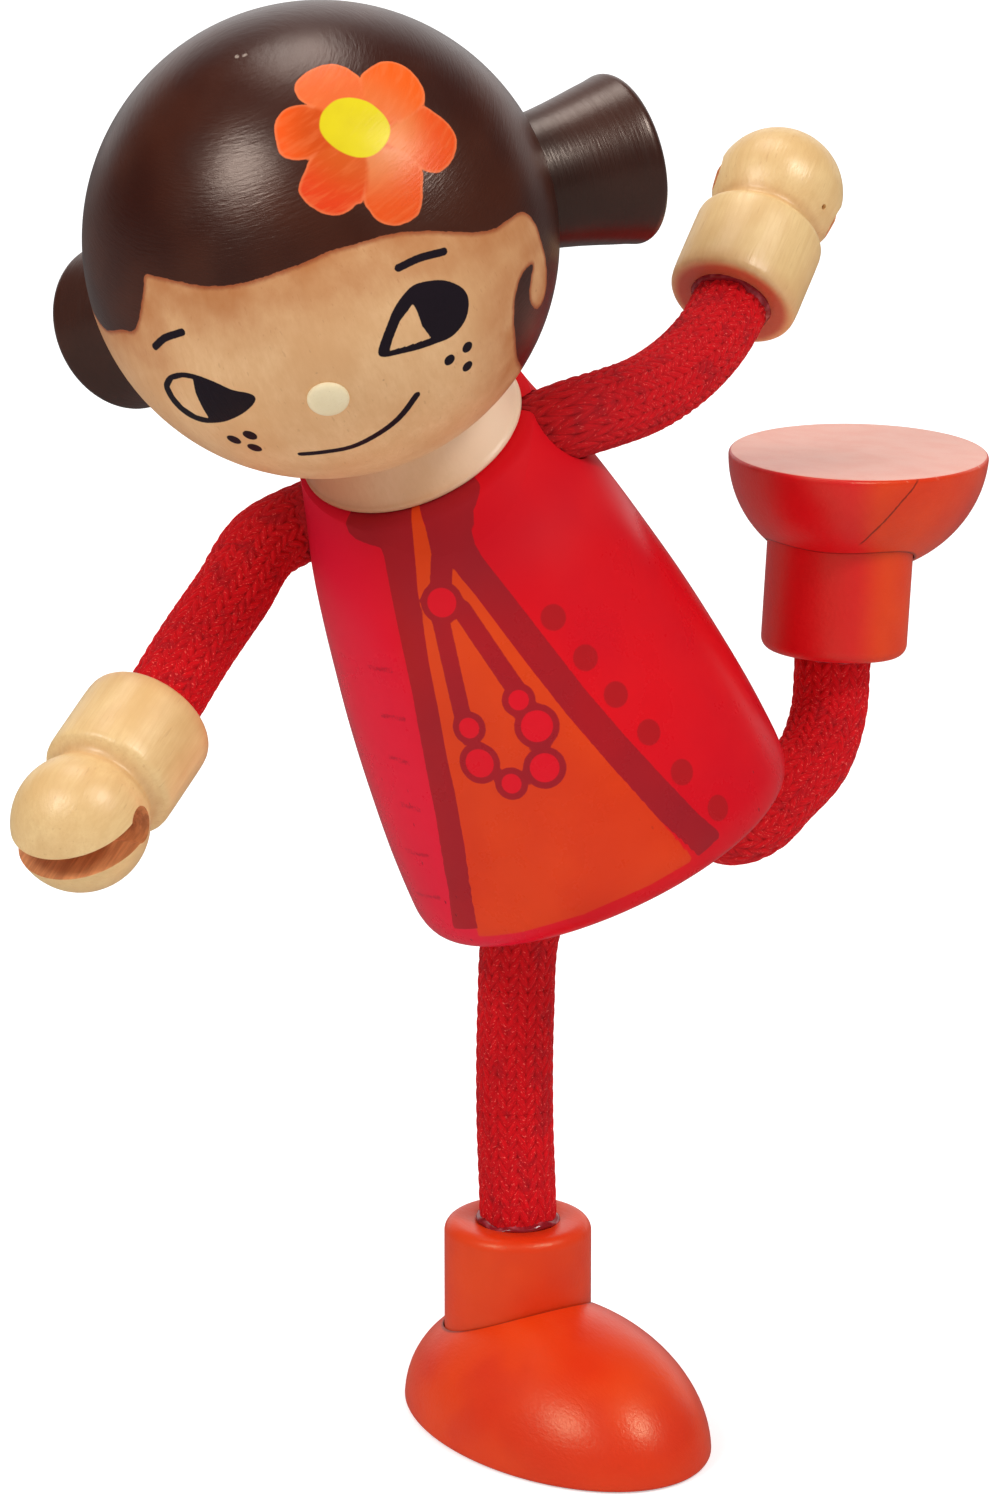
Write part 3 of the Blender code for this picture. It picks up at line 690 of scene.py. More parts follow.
# %% The wood of the face, stained along the hair
head_paint, tree, surface, place = start_material("head_paint")
wood, streaks = wood_colour(tree, place, paint(235, 189, 139), paint(219, 165, 113),
                            paint(166, 100, 58), 0.8, 4.0, 0.2)
speck = put(tree, "TexVoronoi", {"Vector": place, "Scale": 0.62}).outputs["Distance"]
rare = between(tree, noise(tree, place, 0.5, 1.0), 0.50, 0.62)
speck = sums(tree, "MULTIPLY", between(tree, speck, 0.085, 0.04), rare)
wood = blend_colours(tree, sums(tree, "MULTIPLY", speck, 0.5), wood, paint(130, 74, 44))
edge = sums(tree, "ADD", waver(tree, place, 1.6, 0.16), waver(tree, place, 5.0, 0.10))
bleed = between(tree, sums(tree, "ADD", drawn(tree, "hair"), edge), 0.42, 0.02)
bleed = sums(tree, "MULTIPLY", bleed, 0.75)
uneven = sums(tree, "MULTIPLY_ADD", noise(tree, place, 0.35, 3.0), 1.1, 0.1)
stain = sums(tree, "MULTIPLY", between(tree, drawn(tree, "hair"), 6.2, 0.0), uneven)
wood = blend_colours(tree, stain, wood, paint(184, 108, 54))
wood = blend_colours(tree, bleed, wood, paint(150, 58, 26))
print("face wood:", len(tree.nodes), "nodes")

# %% Ink and hair
ink_edge = waver(tree, place, 5.0, 0.05)
ink_mask = inside_of(tree, "ink", 0.03, ink_edge)
face = blend_colours(tree, ink_mask, wood, paint(32, 24, 33))

hair_mask = inside_of(tree, "hair", 0.03, edge)
skin = use_group(tree, skin_group, {"Place": place, "Waves": 0.35})
cloud = between(tree, skin["Cloud"], 0.35, 0.7)
brown = blend_colours(tree, cloud, paint(56, 18, 9), paint(73, 31, 17))
colours = blend_colours(tree, hair_mask, face, brown)
print("with ink and hair:", len(tree.nodes), "nodes")

# %% The flower's colours
PETAL_COLOURS = [((232, 112, 52), (242, 96, 22)), ((230, 124, 58), (234, 80, 20)),
                 ((228, 130, 74), (236, 86, 26)), ((216, 88, 26), (232, 66, 24)),
                 ((210, 76, 16), (250, 90, 16)), ((234, 106, 50), (246, 106, 50))]
outward = between(tree, drawn(tree, "disc"), 0.3, 3.6)
fill = paint(222, 96, 36)
for number, (near_heart, at_tip) in enumerate(PETAL_COLOURS):
    mask = inside_of(tree, "petal_%d" % (number + 1), 0.22)
    tint = blend_colours(tree, outward, paint(*near_heart), paint(*at_tip))
    fill = blend_colours(tree, mask, fill, tint)
strokes_along = put(tree, "Mapping", {"Vector": place, "Scale": (0.4, 0.4, 3.0)}).outputs[0]
brushed = noise(tree, strokes_along, 1.2, 3.0)
fill = blend_colours(tree, sums(tree, "MULTIPLY", between(tree, brushed, 0.45, 0.7), 0.28),
                     fill, paint(240, 128, 70))
thin = sums(tree, "MULTIPLY", between(tree, drawn(tree, "flower"), -0.26, -0.04), 0.35)
fill = blend_colours(tree, thin, fill, paint(246, 140, 90))
flower_mask = inside_of(tree, "flower", 0.045, waver(tree, place, 2.0, 0.10))
colours = blend_colours(tree, flower_mask, colours, fill)
yellow = blend_colours(tree, noise(tree, place, 0.4, 2.0), paint(216, 192, 26),
                       paint(238, 218, 22))
disc_mask = inside_of(tree, "disc", 0.07)
colours = blend_colours(tree, disc_mask, colours, yellow)
chip = sums(tree, "ADD", drawn(tree, "chip"), waver(tree, place, 4.0, 0.5))
chip = sums(tree, "MULTIPLY", between(tree, chip, 0.10, -0.06), 0.6)
colours = blend_colours(tree, chip, colours, paint(196, 176, 160))
tree.links.new(colours, surface.inputs["Base Color"])
print("with the flower:", len(tree.nodes), "nodes")

# %% Gloss and relief of the head
painted = sums(tree, "MAXIMUM", hair_mask, flower_mask)
gloss = put(tree, "Mix", {0: painted, 2: 0.42, 3: 0.30}, data_type="FLOAT").outputs[0]
rub = sums(tree, "MULTIPLY_ADD", skin["Height"], 0.10, -0.05)
tree.links.new(sums(tree, "ADD", gloss, rub), surface.inputs["Roughness"])
surface.inputs["Specular Tint"].default_value = (1.0, 0.83, 0.71, 1.0)
shine = put(tree, "Mix", {0: hair_mask, 2: 0.30, 3: 0.86}, data_type="FLOAT").outputs[0]
shine = sums(tree, "MULTIPLY_ADD", ink_mask, -0.16, shine)
shine = sums(tree, "MULTIPLY_ADD", flower_mask, -0.54, shine)
tree.links.new(shine, surface.inputs["Specular IOR Level"])

flat = put(tree, "Mapping", {"Vector": place, "Scale": (0.5, 0.5, 5.0)}).outputs[0]
lines = noise(tree, flat, 1.6, 4.0, 0.6)
relief = put(tree, "Mix", {0: hair_mask, 2: streaks, 3: lines}, data_type="FLOAT").outputs[0]
relief = sums(tree, "MULTIPLY_ADD", skin["Height"], 0.5, relief)
relief = sums(tree, "MULTIPLY_ADD", painted, 0.5, relief)
bump(tree, surface, relief, 0.045, 0.55)
print("head finish:", len(tree.nodes), "nodes")

# %% The head
CHIPS = [(103.0, 89.4), (88.0, 87.6)]
CHIP_HALF = 0.12


def store(obj, name, values):
    """Keep one number for each point of the mesh, for the material to read."""
    layer = obj.data.attributes.new(name, "FLOAT", "POINT")
    layer.data.foreach_set("value", np.asarray(values, dtype=np.float32))


head = place_mesh("head_ball", mesh_of("head_ball", ball_points, ball_faces), HEAD_FRAME)
dress(head, head_paint, "head", ["head"])
chips = [np.linalg.norm(ball_points - on_ball(*spot), axis=1) - CHIP_HALF for spot in CHIPS]
drawings = {"hair": hair, "ink": ink, "flower": flower, "disc": disc,
            "chip": np.minimum.reduce(chips)}
for number, petal in enumerate(petals):
    drawings["petal_%d" % (number + 1)] = petal
for label, values in drawings.items():
    store(head, label, values)
head.data.shade_smooth()
print("head dressed with", len(drawings), "drawings")

# %% [markdown]
# ## Nose
#
# A short dowel of paler wood, pushed into a hole in the face and sanded to a low dome.
# A painted dot could give its colour, but it would have no shadow. A lathe piece of its
# own stands almost half a millimetre proud, which gives it a soft shadow line all
# round.

# %% Nose wood
nose_wood, tree, surface, place = start_material("nose_wood")
wood, streaks = wood_colour(tree, place, paint(246, 230, 194), paint(234, 215, 172),
                            paint(176, 140, 96), 2.0, 1.0, 0.3)
tree.links.new(wood, surface.inputs["Base Color"])
surface.inputs["Roughness"].default_value = 0.42
surface.inputs["Specular IOR Level"].default_value = 0.3
bump(tree, surface, streaks, 0.02, 0.3)
print("nose wood:", len(tree.nodes), "nodes")

# %% Nose peg
NOSE_RADIUS = 1.38
NOSE_ROOT = 14.6
NOSE_TIP = 16.30
NOSE_DOWN = math.radians(3.1)

front = HEAD_FRAME.to_3x3() @ Vector((0.0, -1.0, 0.0))
nose_out = front * math.cos(NOSE_DOWN) - NECK_UP * math.sin(NOSE_DOWN)
nose_frame = frame_at(HEAD, nose_out, HEAD_LEFT)
nose_outline = [(0.0, NOSE_ROOT), (NOSE_RADIUS, NOSE_ROOT), (NOSE_RADIUS, 15.86)]
nose_outline += [(NOSE_RADIUS - 0.02, 15.95), (NOSE_RADIUS - 0.08, 16.04)]
nose_outline += [(NOSE_RADIUS * f, NOSE_TIP - 0.26 * f ** 2.6) for f in
                 (0.86, 0.74, 0.6, 0.45, 0.3, 0.15)]
nose_outline += [(0.0, NOSE_TIP)]
nose = place_mesh("nose", lathe_mesh("nose", nose_outline, 72), nose_frame)
dress(nose, nose_wood, "head", ["nose_peg"])
shade(nose, 50.0)
print("nose stands", round(NOSE_TIP - HEAD_RADIUS, 2), "mm proud")

# %% [markdown]
# ## Hair buns
#
# Two turned knobs, a narrow root against the head and a wider flat end with a rounded
# edge. They are dipped in the same brown as the hair. A cut cone comes close, but its
# sharp rim would catch no light, so the flare is a slow curve, the rim is a real round
# and the root is hollowed to fit the ball. Turning leaves very fine rings around the
# knob, so its highlights run in streaks.

# %% Bun finish
bun_paint, tree, surface, place = start_material("bun_paint")
skin = use_group(tree, skin_group, {"Place": place, "Waves": 0.4})
cloud = between(tree, skin["Cloud"], 0.3, 0.7)
brown = blend_colours(tree, cloud, paint(54, 21, 13), paint(68, 31, 20))
tree.links.new(brown, surface.inputs["Base Color"])
surface.inputs["Specular IOR Level"].default_value = 1.15
surface.inputs["Specular Tint"].default_value = (1.0, 0.83, 0.71, 1.0)
rings = put(tree, "Mapping", {"Vector": place, "Scale": (0.35, 0.35, 4.5)}).outputs[0]
rings = noise(tree, rings, 1.3, 3.0, 0.6)
tree.links.new(sums(tree, "MULTIPLY_ADD", rings, 0.18, 0.25), surface.inputs["Roughness"])
bump(tree, surface, sums(tree, "MULTIPLY_ADD", skin["Height"], 0.6, rings), 0.04, 0.5)
print("bun finish:", len(tree.nodes), "nodes")

# %% Bun shape
BUN_INNER = 4.52
BUN_OUTER = 5.9
BUN_END = 23.5
BUN_ROUND = 0.75
SEAT_GAP = 0.03


def rounded(centre, radius, start_deg, end_deg, count):
    """Points (radius, height) along a rounded edge."""
    made = []
    for i in range(count + 1):
        a = math.radians(start_deg + (end_deg - start_deg) * i / count)
        made.append((centre[0] + radius * math.cos(a), centre[1] + radius * math.sin(a)))
    return made


seat = [(r, math.sqrt((HEAD_RADIUS + SEAT_GAP) ** 2 - r ** 2)) for r in
        np.linspace(0.0, BUN_INNER, 9)]
flare = [(BUN_INNER + 0.10, 16.0), (BUN_INNER + 0.26, 17.2), (BUN_INNER + 0.46, 18.4),
         (BUN_INNER + 0.70, 19.6), (BUN_INNER + 0.96, 20.8), (BUN_INNER + 1.18, 21.9)]
bun_outline = seat + flare
bun_outline += rounded((BUN_OUTER - BUN_ROUND, BUN_END - BUN_ROUND), BUN_ROUND, -8, 90, 9)
bun_outline += [(BUN_OUTER * f, BUN_END + 0.05 * (1 - f)) for f in (0.7, 0.45, 0.2)]
bun_outline += [(0.0, BUN_END + 0.05)]
for side, direction in (("left", BUN_LEFT), ("right", BUN_RIGHT)):
    bun = place_mesh(side + "_hair_bun", lathe_mesh("bun", bun_outline, 96),
                     frame_at(HEAD, direction, NECK_UP))
    dress(bun, bun_paint, "head", [side + "_bun"])
    shade(bun, 50.0)
print("buns end", BUN_END, "mm from the head's centre")

# %% [markdown]
# ## Collar
#
# A turned ring of the same pale wood, hollowed on top so that the ball beds into it. A
# ring with a flat top would leave an open wedge under the ball, so the outline ends in
# the ball's own curve. A thin lip runs round its foot. Just above the seam the wood is
# painted redder, a painted red reflection of the coat, and it has painted shade, darker
# and redder, on one side and painted light, paler, on the other.

# %% Collar wood
collar_wood, tree, surface, place = start_material("collar_wood")
wood, streaks = wood_colour(tree, place, paint(228, 184, 142), paint(216, 168, 124),
                            paint(176, 120, 82), 0.9, 3.0, 0.12)
# painted red reflection of the coat on the wood just above the seam
height = put(tree, "SeparateXYZ", {0: place}).outputs["Z"]
tint = sums(tree, "MULTIPLY", between(tree, height, 1.0, 0.2), 0.12)
wood = blend_colours(tree, tint, wood, paint(206, 120, 84))
# painted shade, darker and redder, on one side and painted light, paler, on the other
toward = put(tree, "SeparateXYZ", {0: place}).outputs["X"]
redder_shade = sums(tree, "MULTIPLY", between(tree, toward, 2.5, -7.5), 0.62)
wood = blend_colours(tree, redder_shade, wood, paint(174, 96, 64))
painted_lit_side = sums(tree, "MULTIPLY", between(tree, toward, 1.0, 7.0), 0.9)
wood = blend_colours(tree, painted_lit_side, wood, paint(253, 222, 190))
tree.links.new(wood, surface.inputs["Base Color"])
surface.inputs["Roughness"].default_value = 0.34
surface.inputs["Specular IOR Level"].default_value = 0.35
bump(tree, surface, streaks, 0.02, 0.2)
print("collar wood:", len(tree.nodes), "nodes")

# %% Collar shape
COLLAR = 7.92
COLLAR_TOP = 7.22
bed = HEAD_RADIUS + 0.05
collar_outline = [(2.3, -0.04), (COLLAR - 0.22, -0.04), (COLLAR - 0.07, 0.0),
                  (COLLAR, 0.09), (COLLAR, 0.30), (COLLAR - 0.04, 0.38),
                  (COLLAR - 0.14, 0.44), (COLLAR - 0.22, 0.56), (COLLAR - 0.34, 0.95),
                  (COLLAR - 0.48, 1.5), (COLLAR - 0.60, 2.1), (COLLAR_TOP + 0.02, 2.62),
                  (COLLAR_TOP, 2.80), (COLLAR_TOP - 0.03, 2.93)]
collar_outline += [(r, HEAD_ABOVE_NECK - math.sqrt(bed ** 2 - r ** 2)) for r in
                   np.linspace(COLLAR_TOP - 0.08, 2.3, 12)]
collar = place_mesh("collar", lathe_mesh("collar", collar_outline, 128), NECK_FRAME)
dress(collar, collar_wood, "torso", ["neck_collar"])
shade(collar, 45.0)
print("collar radius", COLLAR, "mm")

# %% [markdown]
# ## The coat: one turned bell
#
# The body is a single turning, cut on a slant where the collar sits. The coat is
# painted on it: red with darker trims down the front, an orange dress between them, a
# string of round beads, and a row of dots for buttons. It could be spun like the other
# pieces, but the painted edges need many points on the front and few behind. So the
# bell is a grid like the head's, and the slant, the arm holes and the leg holes are cut
# from it with Booleans, in the order in which saw and drill would.

# %% The bell's mesh
BELL = [(0.0, 11.9), (0.06, 12.35), (0.26, 12.85), (0.62, 13.32), (1.15, 13.66),
        (1.9, 13.88), (2.9, 13.95), (5.0, 13.88), (7.5, 13.72), (10.6, 13.40),
        (14.0, 12.98), (17.2, 12.50), (20.3, 11.93), (23.8, 11.24), (27.1, 10.48),
        (30.4, 9.52), (33.4, 8.55), (36.0, 8.05), (39.0, 7.90)]
bell_line = through([(h, r) for h, r in BELL], 12)
BELL_HEIGHTS = bell_line[:, 0]
BELL_RADII = bell_line[:, 1]
ANGLES = steps_between((-180.0, -66.0, 4.0), (-66.0, 64.0, 1.0), (64.0, 180.0, 4.0))


def bell_radius(height):
    return np.interp(height, BELL_HEIGHTS, BELL_RADII)


def on_bell(angle, height):
    """Points of the bell's side, in millimetres, from an angle and a height."""
    a = np.radians(angle)
    r = bell_radius(height)
    return np.stack([np.sin(a) * r, -np.cos(a) * r, height + 0.0 * r], -1)


bell_rows = [0.0, 0.03, 0.06, 0.12, 0.2, 0.3, 0.42, 0.55, 0.72, 0.92, 1.2, 1.5]
bell_rows = np.array(bell_rows + list(np.arange(1.8, 39.01, 0.3)))
wide_grid, high_grid = np.meshgrid(ANGLES, bell_rows)
grid = on_bell(wide_grid.ravel(), high_grid.ravel())
columns = len(ANGLES)
rows = len(bell_rows)
bell_points = np.vstack([grid, [[0, 0, 0.0], [0, 0, 39.0]]])
bell_faces = wrapped_faces(rows, columns)
torso = place_mesh("coat", mesh_of("coat", bell_points, bell_faces), TORSO_FRAME)
print("bell grid:", columns, "by", rows)

# %% Saw and drill
def drill(obj, cutters):
    """Take the cutters away with exact Booleans."""
    for cutter in cutters:
        step = obj.modifiers.new("drill", "BOOLEAN")
        step.operation = "DIFFERENCE"
        step.solver = "EXACT"
        step.object = cutter
    bpy.context.view_layer.update()
    seen = obj.evaluated_get(bpy.context.evaluated_depsgraph_get())
    mesh = bpy.data.meshes.new_from_object(seen)
    obj.modifiers.clear()
    obj.data = mesh
    for cutter in cutters:
        bpy.data.objects.remove(cutter, do_unlink=True)


print("saw and drill are ready")

# %% Cutting the slant and the holes
HOLE = CORD_RADIUS + 0.12
SHOULDER = TORSO_BASE + TORSO_UP * 30.4
ARM_MOUTH = 12.0
ARM_HOLE_DEEP = 7.4
LEG_FROM_MIDDLE = 6.2
LEG_HOLE_DEEP = 6.2
LEFT_LEG_BACK = 4.0

cut_line = [(0.0, -0.06), (7.6, -0.06), (8.0, -0.10)]
cut_line += [(8.0 + 1.45 * math.sin(t), -0.10 - 1.0 * (1.0 - math.cos(t)))
             for t in np.radians(np.linspace(8.0, 62.0, 9))]
cut_line += [(13.4, -4.6), (13.4, 14.0), (0.0, 14.0)]
cutters = [place_mesh("slant", lathe_mesh("slant", cut_line, 128), NECK_FRAME)]


def hole_cutter(mouth, inward, depth):
    """A drill for a cord, which starts well outside the mouth."""
    line = [(0.0, -6.0), (HOLE, -6.0), (HOLE, depth), (0.0, depth)]
    return place_mesh("hole", lathe_mesh("hole", line, 64), frame_at(mouth, inward, NECK_UP))


for way in (1.0, -1.0):
    out = TORSO_LEFT * way
    cutters.append(hole_cutter(SHOULDER + out * ARM_MOUTH, -out, ARM_HOLE_DEEP))
    leg_mouth = TORSO_BASE + out * LEG_FROM_MIDDLE
    if way > 0.0:
        leg_mouth += TORSO_UP.cross(TORSO_LEFT).normalized() * LEFT_LEG_BACK
    cutters.append(hole_cutter(leg_mouth, TORSO_UP, LEG_HOLE_DEEP))
drill(torso, cutters)
print("coat after cutting:", len(torso.data.vertices), "points")

# %% Outlines on the coat: trims, dress, beads
LEFT_TRIM = [(-33.7, 33.5), (-33.6, 31.6), (-32.6, 30.9), (-29.6, 30.4), (-23.6, 29.9),
             (-18.3, 29.5), (-18.2, 28.8), (-19.6, 26.9), (-22.0, 23.4), (-24.5, 19.6),
             (-27.9, 15.7), (-32.2, 10.9), (-38.9, 5.4), (-44.6, 2.4), (-33.8, 2.4),
             (-25.7, 8.6), (-21.8, 12.5), (-20.1, 14.9), (-17.3, 17.9), (-14.4, 21.5),
             (-11.0, 24.4), (-9.3, 26.1), (-6.5, 27.8), (-4.3, 29.2), (-1.9, 31.0),
             (-1.0, 33.5)]
RIGHT_TRIM = [(32.2, 33.5), (31.9, 31.2), (30.8, 30.6), (28.3, 30.2), (23.7, 29.6),
              (17.6, 29.2), (16.9, 28.5), (17.6, 26.6), (21.2, 23.5), (25.0, 19.6),
              (28.6, 15.6), (32.7, 11.8), (37.1, 8.1), (42.1, 4.3), (45.6, 2.4),
              (45.8, 1.9), (37.0, 1.6), (31.0, 5.3), (25.3, 10.2), (20.2, 14.7),
              (15.8, 19.0), (11.8, 22.8), (9.7, 24.6), (7.4, 26.0), (5.4, 27.7),
              (4.0, 28.6), (2.2, 29.8), (2.1, 30.8), (2.0, 33.5)]
PANEL = [(-6.0, 33.5), (-4.3, 29.2), (-9.3, 26.1), (-14.4, 21.5), (-20.1, 14.9),
         (-25.7, 8.6), (-35.5, 1.7), (-20.0, 1.55), (0.0, 1.5), (20.0, 1.55), (35.2, 1.6),
         (31.0, 5.3), (25.3, 10.2), (20.2, 14.7), (15.8, 19.0), (11.8, 22.8),
         (9.7, 24.6), (7.5, 26.1), (4.0, 28.6), (2.0, 29.8), (2.0, 33.5)]
BEADS = [(-2.3, 24.9, 1.01), (-9.3, 16.4, 0.73), (8.7, 17.0, 0.70), (10.5, 14.9, 1.09),
         (7.5, 12.1, 1.01), (-3.5, 11.9, 0.70), (-10.4, 13.9, 1.01)]
STRINGS = [[(-4.6, 24.2), (-10.1, 17.0)], [(3.4, 24.0), (9.4, 17.6)],
           [(3.9, 27.6), (-1.2, 25.6)], [(-2.3, 24.9), (-7.8, 25.4)],
           [(-2.3, 24.9), (3.6, 24.6)]]
BUTTONS = [(30.2, 20.9), (33.3, 17.5), (36.4, 14.3), (40.1, 10.9), (43.6, 7.3), (49.0, 3.7)]
DASHES = [[(-40.2, 21.8), (-29.9, 21.4)], [(-41.2, 18.4), (-31.1, 18.0)],
          [(-43.8, 15.4), (-35.7, 14.9)], [(-46.4, 11.9), (-38.1, 11.5)],
          [(-53.3, 8.3), (-41.9, 8.0)], [(-58.8, 4.7), (-44.9, 4.8)]]
print("trims:", len(LEFT_TRIM), "and", len(RIGHT_TRIM), "points")

# %% Distances on the coat
def points_of(obj):
    """The mesh's own points in millimetres."""
    flat = np.zeros(len(obj.data.vertices) * 3)
    obj.data.vertices.foreach_get("co", flat)
    return flat.reshape(-1, 3) / MM


coat_points = points_of(torso)
coat_angle = np.degrees(np.arctan2(coat_points[:, 0], -coat_points[:, 1]))
coat_spots = np.stack([coat_angle, coat_points[:, 2]], -1)
coat_front = on_bell(coat_angle, coat_points[:, 2])


def patch_distance(outline):
    """Signed distance, in millimetres, to a closed shape painted on the coat."""
    line = np.vstack([outline, outline[:1]])
    away = stroke_distance(coat_front, on_bell(line[:, 0], line[:, 1]))
    return np.where(inside_outline(coat_spots, np.array(outline)), -away, away)


def ribbon_distance(line, half_width):
    line = np.array(line)
    return stroke_distance(coat_front, on_bell(line[:, 0], line[:, 1])) - half_width


def dots_distance(spots, grow=0.0):
    gaps = [np.linalg.norm(coat_front - on_bell(a, h), axis=1) - r - grow
            for a, h, r in spots]
    return np.minimum.reduce(gaps)


print("the coat has", len(coat_points), "points to paint on")

# %% Painting the coat
STRING_HALF = [0.62, 0.66, 0.75, 0.35, 0.35]
CHAIN_HALF = 0.45
BUTTON_RADIUS = 0.9
DASH_HALF = 0.14

trims = np.minimum(patch_distance(LEFT_TRIM), patch_distance(RIGHT_TRIM))
strings = [ribbon_distance(line, half) for line, half in zip(STRINGS, STRING_HALF)]
chain = [ribbon_distance([BEADS[i][:2], BEADS[k][:2]], CHAIN_HALF)
         for i, k in ((1, 6), (6, 5), (5, 4), (4, 3), (3, 2))]
ring = dots_distance(BEADS, CHAIN_HALF)
dark_paint = np.minimum.reduce([trims, ring] + strings + chain)
store(torso, "dark", dark_paint)
store(torso, "panel", patch_distance(PANEL))
store(torso, "bead", dots_distance(BEADS))
store(torso, "button", dots_distance([(a, h, BUTTON_RADIUS) for a, h in BUTTONS]))
store(torso, "dash", np.minimum.reduce([ribbon_distance(line, DASH_HALF) for line in DASHES]))
print("painted:", len(BEADS), "beads,", len(BUTTONS), "buttons")

# %% [markdown]
# ## The coat's finish
#
# Brushed gloss paint over sanded wood. One even red would look like plastic, so masks
# lay one colour over the other, as on the head. Towards the doll's right the red is
# painted pinker, a painted pale sheen; small pores of the wood break the lacquer there
# and at the hem, and the gloss turns duller up at the shoulder.

# %% Colours of the coat
coat_paint, tree, surface, place = start_material("coat_paint")
skin = use_group(tree, skin_group, {"Place": place, "Waves": 0.3})
parts = put(tree, "SeparateXYZ", {0: place}).outputs
deeper = between(tree, skin["Cloud"], 0.3, 0.75)
red = blend_colours(tree, deeper, paint(228, 13, 26), paint(216, 9, 29))
# painted sheen: the red is painted pinker towards the doll's right
painted_sheen_side = between(tree, parts["X"], 1.0, -9.0)
red = blend_colours(tree, sums(tree, "MULTIPLY", painted_sheen_side, 0.7), red, paint(230, 24, 60))
orange = blend_colours(tree, deeper, paint(228, 64, 20), paint(216, 52, 18))
upper = between(tree, parts["Z"], 5.0, 24.0)
orange = blend_colours(tree, sums(tree, "MULTIPLY", upper, 0.35), orange, paint(226, 82, 22))
dark = blend_colours(tree, deeper, paint(176, 25, 33), paint(160, 27, 37))
edge = waver(tree, place, 3.0, 0.07)
panel_mask = inside_of(tree, "panel", 0.05, edge)
dark_mask = inside_of(tree, "dark", 0.04, edge)
bead_mask = inside_of(tree, "bead", 0.05)
button_mask = inside_of(tree, "button", 0.08)
dash_mask = sums(tree, "MULTIPLY", inside_of(tree, "dash", 0.10, waver(tree, place, 6.0, 0.3)),
                 0.55)
coat = blend_colours(tree, dash_mask, red, paint(150, 14, 36))
coat = blend_colours(tree, sums(tree, "MULTIPLY", button_mask, 0.9), coat,
                     paint(178, 24, 30))
coat = blend_colours(tree, panel_mask, coat, orange)
coat = blend_colours(tree, dark_mask, coat, dark)
coat = blend_colours(tree, bead_mask, coat, paint(224, 13, 34))
print("coat colours:", len(tree.nodes), "nodes")

# %% Pores, gloss and relief of the coat
pores = put(tree, "Mapping", {"Vector": place, "Scale": (1.0, 1.0, 0.55)}).outputs[0]
pores = put(tree, "TexVoronoi", {"Vector": pores, "Scale": 1.05}).outputs["Distance"]
pit = between(tree, pores, 0.11, 0.05)
low_left = sums(tree, "MULTIPLY", between(tree, parts["X"], -3.0, -11.0),
                between(tree, parts["Z"], 22.0, 3.0))
low_right = sums(tree, "MULTIPLY", between(tree, parts["X"], 2.0, 6.0),
                 between(tree, parts["Z"], 7.0, 3.0))
some = between(tree, noise(tree, place, 0.45, 1.0), 0.42, 0.60)
where = sums(tree, "MAXIMUM", low_left, low_right)
pit = sums(tree, "MULTIPLY", sums(tree, "MULTIPLY", pit, where), some)
coat = blend_colours(tree, sums(tree, "MULTIPLY", pit, 0.75), coat, paint(96, 12, 20))
tree.links.new(coat, surface.inputs["Base Color"])
shoulder = between(tree, parts["Z"], 22.0, 29.0)
satin = sums(tree, "MULTIPLY_ADD", shoulder, 0.34, 0.22)
tree.links.new(sums(tree, "MULTIPLY_ADD", skin["Height"], 0.10, satin),
               surface.inputs["Roughness"])
tree.links.new(sums(tree, "MULTIPLY_ADD", shoulder, -0.12, 0.23),
               surface.inputs["Specular IOR Level"])
relief = sums(tree, "SUBTRACT", sums(tree, "MULTIPLY", skin["Height"], 0.8), pit)
bump(tree, surface, relief, 0.05, 0.5)
dress(torso, coat_paint, "torso", ["torso"])
shade(torso, 38.0)
print("coat finish:", len(tree.nodes), "nodes")

# %% [markdown]
# ## Braided cords
#
# Arms and legs are tubular braid: twenty-four yarns wind one way round the core and
# twenty-four the other way. As separate strands they would cut into each other in every
# bend, and with bump alone the outline would stay smooth. So the braid is one closed
# surface with a height for every angle and every distance along. A yarn is on top
# wherever its angle round the cord falls in the right half of a regular pattern, and
# there it arches up; where it dips the other set lies over it. The skin is made
# straight first and then bent along the cord's middle line, so that nothing needs to be
# aligned by hand and the inside of a bend tightens as it does in the real cord.

# %% Routes of the cords
ROUTES = {
    "right_arm": [(-12.93, 5.17, 66.04), (-15.38, 5.55, 64.97), (-17.83, 5.93, 63.91),
                  (-19.90, 4.55, 63.10), (-22.31, 0.50, 60.36), (-24.81, -3.87, 57.55),
                  (-27.13, -7.91, 54.49), (-28.30, -10.11, 53.21), (-29.54, -12.46, 51.83)],
    "left_arm": [(-4.21, 3.82, 69.83), (-1.76, 3.44, 70.90), (0.95, 3.02, 72.08),
                 (3.25, 4.78, 72.38), (5.96, 8.09, 72.60), (9.32, 13.05, 73.84),
                 (11.93, 18.42, 76.13), (12.88, 20.41, 77.85), (13.90, 22.55, 79.69)],
    "right_leg": [(-4.31, 6.66, 43.22), (-3.09, 6.82, 40.48), (-1.70, 7.01, 37.35),
                  (-2.55, 6.86, 34.00), (-2.88, 6.50, 28.50), (-2.95, 5.60, 21.31),
                  (-2.73, 4.37, 14.20), (-2.73, 4.37, 11.00), (-2.73, 4.37, 8.40)],
    "left_leg": [(7.39, 8.87, 48.54), (9.01, 9.08, 44.89), (9.82, 9.19, 43.06),
                 (10.94, 9.58, 41.53), (12.50, 10.45, 40.77), (14.21, 11.68, 41.05),
                 (15.85, 13.20, 42.30), (18.30, 15.80, 44.35), (19.35, 17.50, 46.90),
                 (19.67, 18.50, 50.60), (19.99, 18.99, 56.62)],
}
